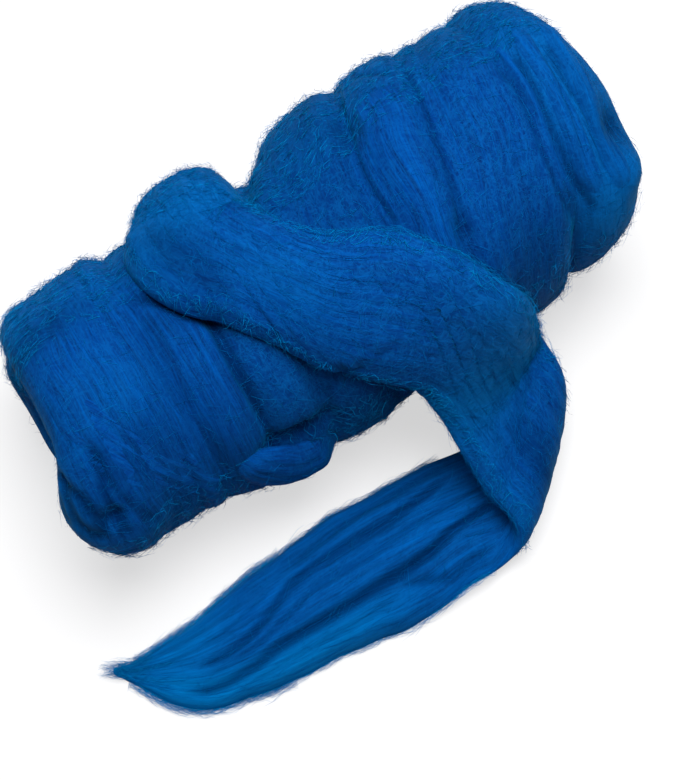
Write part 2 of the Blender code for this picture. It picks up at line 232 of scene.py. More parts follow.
class Patch(NamedTuple):
    """A round patch of the roll: its place and angle, its reach both ways, and its amount."""

    x: float
    angle: float
    along: float
    round: float
    amount: float


# Lumps, with their height as the amount.
BULGES = (
    Patch(-0.045, 175, 0.034, 34, 0.006),  # the belly's swell
    Patch(-0.064, 203, 0.022, 22, 0.014),  # under the tucked loop
    Patch(-0.172, 148, 0.020, 34, 0.016),  # the left corner
    Patch(0.140, 150, 0.026, 34, 0.005),  # the right shoulder
    Patch(0.030, 20, 0.024, 30, 0.004),  # the waist's swell
    Patch(0.150, 144, 0.009, 8, 0.005),  # a knot at the right rim
)
print("turns:", [turn.name for turn in OUTER_TURNS])


# %% How high the turns stand
def soft_edge(across):
    inside = np.clip(1 - np.abs(across) ** EDGE_BLUNTNESS, 0.0, 1.0)
    return inside**EDGE_ROUNDING


def turn_middle(turn, angle):
    """The place along the roll of a turn's middle, at each angle round it."""
    quarters = np.radians([-90, 0, 90, 180, 270, 360, 450])
    places = (turn.under, turn.far, turn.top, turn.near, turn.under, turn.far, turn.top)
    return smooth_through(quarters, places, np.mod(angle, 2 * math.pi))


def inside(patch, along, angle):
    """1 in the middle of a patch, falling to 0 past its reach."""
    off = short_way(angle, math.radians(patch.angle))
    off_x, off_round = (along - patch.x) / patch.along, off / math.radians(patch.round)
    return np.exp(-(off_x**2 + off_round**2))


def turns_height(along, angle):
    height, crease = np.zeros_like(along), np.zeros_like(along)
    for turn in CORE_TURNS + OUTER_TURNS:
        off = np.abs(along - turn_middle(turn, angle))
        cover = soft_edge(off / turn.half_width)
        height = height * (1 - (1 - SHOWS_THROUGH) * cover) + turn.loft * cover
        edge = bell(off - turn.half_width, CREASE_WIDTH)
        crease = np.maximum(crease * (1 - cover), CREASE_DEPTH * edge)
    # The creases fade below, where the table closes them.
    height = height - crease * (0.3 + 0.7 * smooth_step(0.4 + np.sin(angle)))
    for bulge in BULGES:
        height = height + bulge.amount * inside(bulge, along, angle)
    return height


# %% Slow swells, and the spiral on the end faces
FACE_COIL_PITCH, FACE_COIL_RELIEF = 0.021, 0.0016
SWELL_HEIGHT = 0.0012


def unevenness(along, angle):
    return SWELL_HEIGHT * (
        np.sin(58 * along + 2 * angle + 0.6)
        + 0.7 * np.sin(97 * along - 3 * angle + 2.1)
        + 0.5 * np.sin(151 * along + 5 * angle + 4.0)
    )


def face_coils(along, angle):
    _, share = roll_profile(along)
    on_face = ramp(share, 0.85, -0.2) * ramp(share, 0.0, 0.15)
    spiral = np.cos(2 * math.pi * share * MEAN_RADIUS / FACE_COIL_PITCH + angle)
    return FACE_COIL_RELIEF * on_face * spiral


def roll_height(along, angle):
    return turns_height(along, angle) + unevenness(along, angle) + face_coils(along, angle)


# %% Pits and folded creases
# Dents, with their depth as the amount.
PITS = (
    Patch(-0.062, 167, 0.019, 4.8, 0.0080),
    Patch(-0.071, 101, 0.008, 6.0, 0.0020),
    Patch(-0.1602, 147, 0.0036, 4.0, 0.0050),
    Patch(0.042, 64, 0.0055, 9.0, 0.0030),
    Patch(0.057, 124, 0.0050, 6.0, 0.0030),
    Patch(0.153, 124, 0.0090, 9.0, 0.0050),
)


class Crease(NamedTuple):
    """A thin fold line: its depth, its width, and its places along and angles round."""

    depth: float
    width: float
    path: tuple


# fmt: off
CREASES = (
    # On the left drum: the bright turn's two edges, and a soft line beside it.
    Crease(0.0026, 0.0020, (
        (-0.0765, 84), (-0.0778, 97), (-0.0800, 111), (-0.0806, 126), (-0.0797, 135),
        (-0.0786, 158),
    )),
    Crease(0.0034, 0.0046, (
        (-0.1040, 70), (-0.0942, 82), (-0.0865, 90), (-0.0792, 97), (-0.0740, 104),
    )),
    Crease(0.0008, 0.0060, (
        (-0.1086, 81), (-0.1113, 93), (-0.1132, 113), (-0.1104, 122), (-0.1118, 139),
        (-0.1055, 170),
    )),
    Crease(0.0016, 0.0022, ((-0.0540, 124), (-0.0475, 125), (-0.0410, 131))),
    # At the left rim.
    Crease(0.0026, 0.0020, (
        (-0.1545, 116), (-0.1579, 130), (-0.1593, 137), (-0.1602, 148), (-0.1590, 162),
    )),
    Crease(0.0024, 0.0022, (
        (-0.1700, 100), (-0.1724, 119), (-0.1656, 132), (-0.1634, 145), (-0.1660, 160),
    )),
    Crease(0.0018, 0.0016, ((-0.1560, 112), (-0.1568, 128), (-0.1550, 144), (-0.1500, 166))),
    Crease(0.0022, 0.0016, ((-0.1690, 116), (-0.1700, 130), (-0.1690, 144), (-0.1650, 160))),
    Crease(0.0018, 0.0020, ((-0.1800, 96), (-0.1790, 116), (-0.1745, 134), (-0.1720, 150))),
    # At the right rim, between its strips.
    Crease(0.0014, 0.0020, (
        (0.1240, 74), (0.1230, 90), (0.1140, 114), (0.1120, 131), (0.1160, 150),
    )),
    Crease(0.0018, 0.0020, (
        (0.1340, 74), (0.1300, 90), (0.1240, 114), (0.1225, 131), (0.1280, 153),
    )),
    Crease(0.0014, 0.0020, ((0.1510, 78), (0.1460, 97), (0.1450, 114), (0.1370, 139))),
    # The two sides of the wide satin fold.
    Crease(0.0017, 0.0014, (
        (0.0840, 50), (0.0805, 67), (0.0759, 79), (0.0710, 90), (0.0660, 103), (0.0551, 127),
    )),
    Crease(0.0014, 0.0014, (
        (0.0520, 40), (0.0443, 58), (0.0388, 70), (0.0316, 82), (0.0293, 90), (0.0307, 112),
    )),
    Crease(0.0016, 0.0020, ((0.0600, 33), (0.0660, 43), (0.0720, 52), (0.0770, 60))),
)
# fmt: on
print("pits:", len(PITS), "creases:", len(CREASES))

# A crease fades in and out over the first length. One that reaches less than the second length
# round the roll runs along it instead, and isn't faded.
CREASE_FADE, SHORTEST_FADED = 0.010, 0.015


def in_crease(along, angle, crease):
    """1 on the crease's line, falling to 0 beside it and past its ends."""
    round_roll = (short_way(angle, math.pi / 2) + math.pi / 2) * MEAN_RADIUS
    place = np.stack([along, round_roll], axis=-1)
    nearest = np.full(along.shape, np.inf)
    path = [np.array((x, math.radians(degrees) * MEAN_RADIUS)) for x, degrees in crease.path]
    for start, end in zip(path, path[1:]):
        way = end - start
        t = np.clip(((place - start) @ way) / (way @ way), 0, 1)
        nearest = np.minimum(nearest, np.linalg.norm(place - start - t[..., None] * way, axis=-1))
    first, last = path[0][1], path[-1][1]
    shown = ramp(round_roll, first, CREASE_FADE) * ramp(round_roll, last, -CREASE_FADE)
    if abs(last - first) < SHORTEST_FADED:
        shown = 1.0
    return shown * bell(nearest, crease.width)


def dressed_height(along, angle):
    """The roll's height with its pits and creases, for the pieces that are seen."""
    height = roll_height(along, angle)
    for pit in PITS:
        height = height - pit.amount * inside(pit, along, angle)
    for crease in CREASES:
        height = height - crease.depth * in_crease(along, angle, crease)
    return height


# %% How much painted shade and glow a place gets, and how felted it is
CREASE_SHADE_WIDTH = 0.0028
# A pit or crease this deep gets the full painted shade.
DARK_PIT, DARK_CREASE = 0.005, 0.0024


class Look(NamedTuple):
    """A turn's wool: how felted it is, how much broad painted shade and painted glow it gets, how
    far it rises over its neighbours, and how much painted shade its edges get, where 1 is a clear
    line and less melts into the next turn."""

    felt: float
    dark: float
    thin: float
    rise: float
    edge_dark: float = 1.0


LOOKS = {
    "left_rim": Look(0.80, 0.08, 0.30, 0.0004),
    "belly": Look(0.80, 0.10, 0.08, -0.0002),
    "bright": Look(0.06, 0.0, 0.05, 0.0006),
    "left_drum": Look(0.16, 0.0, 0.05, 0.0004, 0.25),
    "waist": Look(0.65, 0.40, 0.0, 0.0002, 0.35),
    "fan": Look(0.40, 0.10, 0.0, 0.0008, 0.35),
    "right_drum": Look(0.50, 0.06, 0.0, 0.0004, 0.35),
    "right_rim": Look(0.70, 0.0, 0.70, 0.0002, 0.35),
}
# Painted shade where little light reaches. A negative amount paints light instead.
SHADY = (
    Patch(-0.1060, 152, 0.0100, 20.0, 0.45),
    Patch(-0.0920, 88, 0.0170, 9.0, 0.45),
    Patch(-0.0640, 168, 0.0260, 6.0, 0.60),
    Patch(0.0400, 66, 0.0090, 12.0, 0.45),
    Patch(0.0920, 148, 0.0320, 16.0, 0.36),
    Patch(-0.1460, 130, 0.0280, 16.0, 0.50),
    Patch(0.1200, 52, 0.0500, 16.0, 0.20),
    Patch(-0.1500, 66, 0.0340, 10.0, 0.55),
    Patch(-0.1760, 142, 0.0160, 26.0, -0.60),
    Patch(0.1350, 160, 0.0280, 18.0, -0.60),
)
# Patches of painted light, added to the painted glow, mostly at the rims, which lie in shade.
PAINTED_LIGHT = (
    Patch(-0.1840, 142, 0.0150, 30.0, 1.30),
    Patch(0.1340, 158, 0.0220, 16.0, 0.70),
    Patch(-0.1380, 104, 0.0260, 14.0, 0.25),
)
# The far side was handled most: it is this felted below these angles. It also gets this much
# painted glow there, as wool lit from behind.
RUBBED_FELT, FAR_SIDE_GLOW = 0.9, 0.40
RUBBED_BELOW, RUBBED_EASE = math.radians(80), math.radians(34)
LOW_FROM, LOW_EASE = math.radians(122), math.radians(45)
LOW_SHADE, GLOW_SHOWS = 0.16, 0.2


def painted_crease_shade(along, angle):
    """Painted shade: 0 on the crown of a turn, and 1 deep in a crease or pit."""
    hollow = np.zeros_like(along)
    for turn in OUTER_TURNS:
        off = np.abs(along - turn_middle(turn, angle))
        edge = bell(off - turn.half_width, CREASE_SHADE_WIDTH) * LOOKS[turn.name].edge_dark
        hollow = np.maximum(hollow * (1 - soft_edge(off / turn.half_width)), edge)
    for pit in PITS:
        strength = min(pit.amount / DARK_PIT, 1.0)
        hollow = np.maximum(hollow, strength * inside(pit, along, angle))
    for crease in CREASES:
        strength = min(crease.depth / DARK_CREASE, 1.0)
        hollow = np.maximum(hollow, strength * in_crease(along, angle, crease))
    return hollow


def turn_marks(along, angle):
    """The marks of the uppermost turn at a place: felt, painted shade and painted glow."""
    felt, dark, thin = (np.zeros_like(along) for _ in range(3))
    for turn in OUTER_TURNS:
        cover = soft_edge(np.abs(along - turn_middle(turn, angle)) / turn.half_width)
        look = LOOKS[turn.name]
        felt = felt * (1 - cover) + look.felt * cover
        dark = dark * (1 - cover) + look.dark * cover
        thin = thin * (1 - cover) + look.thin * cover
    back = np.mod(angle + math.pi / 2, 2 * math.pi) - math.pi / 2
    far_side = ramp(back, RUBBED_BELOW, -RUBBED_EASE)
    low = ramp(back, LOW_FROM, LOW_EASE)
    # Painted shade low down, except where painted glow shows, as thin wool lets light through.
    dark = dark + LOW_SHADE * low * (thin < GLOW_SHOWS)
    for patch in SHADY:
        dark = dark + patch.amount * inside(patch, along, angle)
    for patch in PAINTED_LIGHT:
        thin = thin + patch.amount * inside(patch, along, angle)
    return {
        "felt": felt + (RUBBED_FELT - felt) * far_side,
        "hollow": np.maximum(painted_crease_shade(along, angle), np.clip(dark, 0.0, 1.0)),
        "thin": thin + (FAR_SIDE_GLOW - thin) * far_side,
    }


def faded(marks, below, shown):
    """A lock's own marks where it shows, and those of the wool below where it sinks in."""
    return {label: below[label] * (1 - shown) + marks[label] * shown for label in marks}


# %% [markdown]
# ## From formulas to meshes
#
# Every soft piece here is a tube of rings: the roll itself, each turn round it, and the strand.
# One small function joins the rings into a closed mesh. It also writes a UV map in metres, with U
# along the fibres and V across them, because everything that makes wool look like wool, its
# streaks and its loose fibres, follows the strand and not the world's axes.

# %% Rings into a closed mesh
def linked(name, data):
    made = bpy.data.objects.new(name, data)
    bpy.context.scene.collection.objects.link(made)
    return made


def mesh_with_uv(name, points, faces, face_uv):
    mesh = bpy.data.meshes.new(name)
    mesh.from_pydata(points.tolist(), [], faces)
    layer = mesh.uv_layers.new(name="UVMap")
    layer.data.foreach_set("uv", face_uv.astype(np.float32).ravel())
    return mesh


def quads_of(rows, columns):
    """The four corners of each quad of a grid, as rows and columns of its points."""
    i, j = (places.ravel() for places in np.indices((rows, columns)))
    return (i, j), (i + 1, j), (i + 1, j + 1), (i, j + 1)


def signed_volume(mesh):
    mesh.calc_loop_triangles()
    points = np.array([v.co for v in mesh.vertices])
    a, b, c = np.moveaxis(points[[t.vertices[:] for t in mesh.loop_triangles]], 1, 0)
    return float((a * np.cross(b, c)).sum() / 6)


def skin(name, rings, uv, is_loop, marks):
    """A mesh from rings of points. `uv` has one more column than the rings, and one more row in
    a loop. `marks` are values at the ring points, kept as attributes that the finish reads."""
    # Wool that would reach below the table is pressed flat on it.
    rings[..., 2] = np.maximum(rings[..., 2], 0.0)
    count, around = rings.shape[:2]
    corners = quads_of(count if is_loop else count - 1, around)
    quads = np.stack([(a % count) * around + b % around for a, b in corners], axis=1)
    points, faces = rings.reshape(-1, 3), quads.tolist()
    face_uv = np.stack([uv[a, b] for a, b in corners], axis=1).reshape(-1, 2)
    # An open row of rings is closed with a fan of triangles at each end.
    for ring, inner in () if is_loop else ((0, 1), (count - 1, count - 2)):
        pole, edge = len(points), np.arange(around)
        points = np.concatenate([points, rings[ring].mean(0)[None]])
        onward = ring * around + (edge + 1) % around
        fan = np.stack([np.full(around, pole), ring * around + edge, onward], 1)
        tip_uv = (uv[ring, :-1] + uv[ring, 1:]) / 2 + (uv[ring, :-1] - uv[inner, :-1]) / 2
        fan_uv = np.stack([tip_uv, uv[ring, :-1], uv[ring, 1:]], axis=1)
        turned_way = slice(None) if ring else slice(None, None, -1)
        faces += fan[:, turned_way].tolist()
        face_uv = np.concatenate([face_uv, fan_uv[:, turned_way].reshape(-1, 2)])
    mesh = mesh_with_uv(name, points, faces, face_uv)
    mesh.shade_smooth()
    for label, values in marks.items():
        flat = np.broadcast_to(values, (count, around)).astype(np.float32).ravel()
        if not is_loop:
            flat = np.append(flat, (flat[0], flat[-around]))
        mesh.attributes.new(label, "FLOAT", "POINT").data.foreach_set("value", flat)
    if signed_volume(mesh) < 0:
        mesh.flip_normals()
    return linked(name, mesh)


# %% [markdown]
# ## The wool's finish
#
# Combed wool is matt, but not like chalk: each fibre is a smooth rod, so the strand has a soft
# glow at grazing angles, which the shader's sheen gives. The streaks are locks of fibres that
# catch the light a little differently. They are noise that is stretched about forty times along
# the strand. Each material that shows wool needs them, so they are one node group.

# %% Nodes that can be calculated with
class Value:
    """A node's output. Arithmetic on it adds the Math or Vector Math nodes to its tree."""

    def __init__(self, tree, socket):
        self.tree, self.socket = tree, socket
        self.is_vector = socket.type in ("VECTOR", "RGBA")

    def calculate(self, operation, *values):
        kind = "ShaderNodeVectorMath" if self.is_vector else "ShaderNodeMath"
        made = self.tree.nodes.new(kind)
        made.operation = operation
        for socket, value in zip([s for s in made.inputs if s.enabled], values):
            plug(value, socket)
        return Value(self.tree, made.outputs[0])

    def math(self, operation, *others):
        return self.calculate(operation, self, *others)

    def __add__(self, other):
        return self.math("ADD", other)

    def __sub__(self, other):
        return self.math("SUBTRACT", other)

    def __truediv__(self, other):
        return self.math("DIVIDE", other)

    def __mul__(self, other):
        by_vector = isinstance(other, tuple) or (isinstance(other, Value) and other.is_vector)
        return self.math("SCALE" if self.is_vector and not by_vector else "MULTIPLY", other)

    def __rsub__(self, whole):
        return self.calculate("SUBTRACT", whole, self)

    def output(self, label):
        """Another output of the same node."""
        return Value(self.tree, self.socket.node.outputs[label])


def plug(value, socket):
    """Links a value to an input socket, or sets a constant on it."""
    if isinstance(value, Value):
        value.tree.links.new(value.socket, socket)
    else:
        socket.default_value = value


def node(tree, kind, inputs=(), output=None, **settings):
    """Adds a node with its settings and its named inputs, and gives back one of its outputs."""
    made = tree.nodes.new(kind)
    for key, value in settings.items():
        setattr(made, key, value)
    enabled = {socket.name: socket for socket in made.inputs if socket.enabled}
    for label, value in dict(inputs).items():
        plug(value, enabled[label])
    found = (s for s in made.outputs if s.enabled and output in (None, s.name))
    return Value(tree, next(found))


def noise(tree, place, scale, detail, output=None, **inputs):
    inputs = {"Vector": place, "Scale": scale, "Detail": detail} | inputs
    return node(tree, "ShaderNodeTexNoise", inputs, output, noise_dimensions="3D")


def combined(tree, x, y, z=0.0):
    return node(tree, "ShaderNodeCombineXYZ", {"X": x, "Y": y, "Z": z})


def turned_about_z(place, angle):
    inputs = {"Vector": place, "Angle": angle}
    return node(place.tree, "ShaderNodeVectorRotate", inputs, rotation_type="Z_AXIS")


def blend(factor, first, second, kind="RGBA"):
    inputs = {"Factor": factor, "A": first, "B": second}
    return node(factor.tree, "ShaderNodeMix", inputs, "Result", data_type=kind)


def label_of(word):
    """`from_min` as `From Min`."""
    return word.replace("_", " ").title()


def mapped(value, **ends):
    """Map Range: `ends` are its inputs, such as from_min, where they aren't 0 and 1."""
    inputs = {label_of(word): end for word, end in ends.items()}
    return node(value.tree, "ShaderNodeMapRange", {"Value": value} | inputs)


def new_group(name, kind, inputs, outputs):
    """A node group. An input's value says what kind it is, or else a word does."""
    group = bpy.data.node_groups.new(name, kind)
    words = {float: "Float", int: "Int"}
    for label, value in inputs.items():
        word = words.get(type(value), value)
        kinds = {"in_out": "INPUT", "socket_type": f"NodeSocket{word}"}
        made = group.interface.new_socket(name=label, **kinds)
        if word != value:
            made.default_value = value
    for label, word in outputs.items():
        group.interface.new_socket(name=label, in_out="OUTPUT", socket_type=f"NodeSocket{word}")
    given = group.nodes.new("NodeGroupInput").outputs
    return group, {socket.name: Value(group, socket) for socket in given if socket.name}


def put_out(group, **values):
    out = group.nodes.new("NodeGroupOutput").inputs
    for label, value in values.items():
        plug(value, out[label])


# %% The streaks, as a node group
def combed_streaks():
    group, given = new_group(
        "Combed streaks",
        "ShaderNodeTree",
        {
            "Place": "Vector",
            "Hairs per Metre": 1100.0,
            "Stretch": 12.0,
            "Wander": 0.0032,
            "Locks": 0.35,
        },
        {"Shade": "Float", "Relief": "Float"},
    )
    drift = noise(group, given["Place"], 38.0, 1.5, "Color") - (0.5, 0.5, 0.5)
    warped = given["Place"] + drift * given["Wander"]

    def layer(turned, hairs, stretch, detail, number):
        scale = combined(group, hairs / stretch, hairs, 1.0)
        place = turned_about_z(warped, turned) * scale + (0.0, 0.0, 6.7 * number)
        return noise(group, place, 1.0, detail, Roughness=0.55)

    hairs, stretch = given["Hairs per Metre"], given["Stretch"]
    fine = layer(0.0, hairs, stretch, 2.0, 0)
    # Two coarser layers, turned a little, so that the hairs aren't all parallel.
    for number, (turned, coarser) in enumerate(((0.07, 0.55), (-0.05, 0.36)), 1):
        fine = fine * 0.68 + layer(turned, hairs * coarser, stretch, 1.0, number) * 0.32
    lock = layer(0.0, hairs * 0.14, 26.0, 1.5, 5)
    both = blend(given["Locks"], fine, lock, "FLOAT")
    put_out(group, Shade=mapped(both, from_min=0.36, from_max=0.64), Relief=fine)
    return group


STREAKS = combed_streaks()
print("node group:", STREAKS.name, "with", len(STREAKS.nodes), "nodes")

# %% [markdown]
# Where the wool has been rubbed, fine hairs curl over it in all directions. Millions of them can't
# be meshes. The line where a noise pattern passes through its middle value is thin, long and
# curly, just as such a hair is, so a few layers of these lines make the felted places.


# %% Felted hairs, as a node group
# Each layer's turn, how much finer it is than the first, and how far it is stretched.
HAIR_LAYERS = (
    (0.45, 1.0, 3.2),
    (-0.65, 1.25, 2.6),
    (1.3, 0.85, 1.9),
    (-0.1, 1.7, 4.2),
    (-1.2, 1.5, 2.0),
)


def felted_hairs():
    group, given = new_group(
        "Felted hairs",
        "ShaderNodeTree",
        {"Place": "Vector", "Curls per Metre": 350.0, "Thinness": 14.0},
        {"Hairs": "Float"},
    )
    found = None
    for number, (turned, finer, stretch) in enumerate(HAIR_LAYERS):
        curls = given["Curls per Metre"] * finer
        scale = combined(group, curls / stretch, curls)
        place = turned_about_z(given["Place"], turned) * scale + (0.0, 0.0, 11.3 * number)
        off = (noise(group, place, 1.0, 1.6) - 0.5).math("ABSOLUTE")
        line = 1.0 - off * given["Thinness"]
        line.socket.node.use_clamp = True
        # The lines are broken up, because a hair has two ends.
        line = line * mapped(noise(group, place, 0.55, 2.0), from_min=0.40, from_max=0.60)
        found = found.math("MAXIMUM", line) if found else line
    put_out(group, Hairs=found)
    return group


HAIRS = felted_hairs()
print("node group:", HAIRS.name, "with", len(HAIRS.nodes), "nodes")

# %% The colours of the wool
DEEP_BLUE = (0.002, 0.014, 0.098, 1.0)
ROYAL_BLUE = (0.0, 0.077, 0.392, 1.0)
# Painted colours: a near-black blue for shade, and two light blues for glow where thin wool lets
# light through or painted light lifts a shaded place.
PAINTED_SHADE_BLUE = (0.0, 0.007, 0.048, 1.0)
PAINTED_GLOW_BLUE = (0.0, 0.190, 0.545, 1.0)
PAINTED_GLOW_DEEP = (0.0, 0.090, 0.300, 1.0)
HAIR_BLUE = (0.003, 0.155, 0.530, 1.0)
TEAL_GLOW = (0.0, 0.55, 0.80, 1.0)
FIBRE_GLINT = (0.02, 0.45, 1.0, 1.0)


def wool_shader(name, roughness):
    material = bpy.data.materials.new(name)
    material.use_nodes = True
    shader = material.node_tree.nodes["Principled BSDF"]
    shader.inputs["Roughness"].default_value = roughness
    shader.inputs["Specular IOR Level"].default_value = 0.05
    shader.inputs["Specular Tint"].default_value = FIBRE_GLINT
    shader.inputs["Sheen Weight"].default_value = 0.14
    shader.inputs["Sheen Roughness"].default_value = 0.45
    shader.inputs["Sheen Tint"].default_value = TEAL_GLOW
    return material, material.node_tree, shader


def attribute(tree, label):
    return node(tree, "ShaderNodeAttribute", {}, "Fac", attribute_name=label)


def combed_wool(name, hairs, stretch, locks):
    material, tree, shader = wool_shader(name, roughness=0.60)
    place = node(tree, "ShaderNodeUVMap", uv_map="UVMap")
    felt, hollow, thin = (attribute(tree, label) for label in ("felt", "hollow", "thin"))
    sizes = {"Place": place, "Hairs per Metre": hairs, "Stretch": stretch, "Locks": locks}
    streaks = node(tree, "ShaderNodeGroup", sizes, "Shade", node_tree=STREAKS)
    curls = node(tree, "ShaderNodeGroup", {"Place": place}, node_tree=HAIRS)
    # Felt hides the streaks below it and shows its own hairs.
    shade = blend(mapped(felt, to_min=0.0, to_max=0.72), streaks, 0.26, "FLOAT")
    over = curls * mapped(felt, to_min=0.20, to_max=0.60)
    # Painted glow lightens the streaked blue, and painted shade darkens the result last.
    pale = blend(shade, PAINTED_GLOW_DEEP, PAINTED_GLOW_BLUE)
    colour = blend(thin * 0.5, blend(shade, DEEP_BLUE, ROYAL_BLUE), pale)
    colour = blend(over, colour, HAIR_BLUE)
    colour = blend(hollow * 0.80, colour, PAINTED_SHADE_BLUE)
    plug(colour, shader.inputs["Base Color"])
    height = streaks.output("Relief") * mapped(felt, to_min=1.0, to_max=0.35) + over
    sizes = {"Strength": 0.7, "Distance": 0.0003, "Height": height}
    plug(node(tree, "ShaderNodeBump", sizes), shader.inputs["Normal"])
    return material


roll_wool = combed_wool("combed_wool_roll", hairs=2300.0, stretch=38.0, locks=0.22)
strand_wool = combed_wool("combed_wool_strand", hairs=2200.0, stretch=40.0, locks=0.24)
print("materials:", roll_wool.name, strand_wool.name)

# %% [markdown]
# ## The wound core
#
# Under the outer turns is the rest of the strand, wound tight. It shows only between turns and on
# the two end faces, where its layers make a flat spiral, so it is one closed tube from end to end.

# %% The wound core
CORE_SINKS = 0.0030
CORE_RINGS, CORE_AROUND = 130, 109
# The hole at the middle of each end face, before its pole closes it.
FACE_HOLE = 0.0015
FACE_FELT, FACE_SHADE = 0.8, 0.45


def wound_core():
    along = np.linspace(FIRST + FACE_HOLE, LAST - FACE_HOLE, CORE_RINGS)
    angle = np.radians(np.linspace(-90, 270, CORE_AROUND))
    place, turned = np.moveaxis(grid(along, angle[:-1]), -1, 0)
    _, share = roll_profile(place)
    sunk = CORE_SINKS * ramp(share, 0.80, 0.15)
    points = off_the_roll(place, turned, dressed_height(place, turned) - sunk)
    uv = grid(along, (angle - angle[0]) * MEAN_RADIUS)[..., ::-1]
    # Painted shade in the grooves of the end faces' spiral, and in the creases elsewhere.
    spiral = face_coils(place, turned) / FACE_COIL_RELIEF
    on_face = FACE_SHADE - FACE_SHADE * spiral
    hollow = np.where(share < 0.9, on_face, painted_crease_shade(place, turned))
    marks = {"felt": FACE_FELT, "hollow": hollow, "thin": 0.0}
    return skin("wound_core", points, uv, is_loop=False, marks=marks)


core = wound_core()
core.data.materials.append(roll_wool)
print("wound core:", len(core.data.polygons), "faces")

# %% [markdown]
# ## The outer turns
#
# Each outer turn is a closed band of its own. Its top is arched, full in the middle and tucked in
# at both edges, so that where two bands meet their rounded edges leave a real crease. Low ridges
# run along it, where locks of fibre lie side by side.

# %% Ridges of combed fibre
def combed_ridges(along_fibres, across, seed, longest=0.014, shortest=0.0035, waves=9):
    """Ridges that run with the fibres, with an rms height of 1. `along_fibres` is an angle."""
    random = np.random.default_rng(seed)
    height, power = np.zeros_like(across), 0.0
    for length in np.geomspace(longest, shortest, waves):
        phase, drift = random.uniform(0, 2 * math.pi, 2)
        slow, size = random.integers(1, 7), length**0.6
        bend = random.uniform(0.4, 1.6) * np.sin(slow * along_fibres + drift)
        height = height + size * np.sin(2 * math.pi * across / length + phase + bend)
        power += size**2 / 2
    return height / math.sqrt(power)


# %% The section of a closed band
BELOW_SHARE = 0.02


def band_section(above, below):
    """Places across a flat band from -1 to 1 over its top and back below it, which of them are
    on top, and their V in half widths. The unseen underside gets next to none of the V."""
    over, under = np.linspace(-1, 1, above), np.linspace(1, -1, below)[1:-1]
    v = np.concatenate([over + 1, 2 + (np.arange(len(under) + 1) + 1) * BELOW_SHARE])
    across = np.concatenate([over, under])
    return across, np.arange(len(across)) < above, v


# %% One turn as a closed band
TURN_RINGS, TURN_ACROSS, TURN_BELOW = 140, 45, 10
TURN_TUCK, TURN_DEPTH, TURN_RIDGES = 0.0035, 0.004, 0.00012
# A turn with soft edges has the rounder arch.
SOFT_ARCH, CRISP_ARCH = 0.9, 0.5


def turn_band(turn, seed):
    angle = np.radians(np.linspace(-90, 270, TURN_RINGS + 1))
    across, is_top, v = band_section(TURN_ACROSS, TURN_BELOW)
    turned, side = np.moveaxis(grid(angle[:-1], across), -1, 0)
    place = turn_middle(turn, turned) + turn.half_width * side
    look = LOOKS[turn.name]
    arch = np.clip(1 - np.abs(side) ** (4 + 4 * look.felt), 0, 1)
    arch = arch ** (SOFT_ARCH if look.edge_dark < 1 else CRISP_ARCH)
    ridges = TURN_RIDGES * combed_ridges(turned, side * turn.half_width, seed) * arch
    top = arch * (look.rise + TURN_TUCK) - TURN_TUCK + ridges
    below = -TURN_TUCK - TURN_DEPTH * (1 - side**2)
    lift = dressed_height(place, turned) + np.where(is_top, top, below)
    points = off_the_roll(place, turned, lift)
    uv = grid((angle - angle[0]) * MEAN_RADIUS, v * turn.half_width)
    return skin("turn_" + turn.name, points, uv, is_loop=True, marks=turn_marks(place, turned))


turns = [turn_band(turn, seed) for seed, turn in enumerate(OUTER_TURNS)]
for band in turns:
    band.data.materials.append(roll_wool)
print("turns:", len(turns), "with", sum(len(band.data.polygons) for band in turns), "faces")

# %% [markdown]
# ## Locks that stray over the turns
#
# A hand-wound roll is never quite tidy. Locks of fibre slip off their turn, fold back at the rims
# or fan out over their neighbour. Each one is a short closed band that follows its own path on the
# roll, given by a few places and widths, and sinks into the wool at its edges and both ends.

# %% The table of locks
class Lock(NamedTuple):
    """A lock: how proud and felted it is, how much painted glow it gets, rows of place along,
    angle and half width, whether it spans the creases below it, how flat its crown is and how much
    painted shade its edges get."""

    name: str
    rise: float
    felt: float
    thin: float
    path: tuple
    spans: bool = False
    flatness: float = 3.2
    edge_dark: float = 0.40


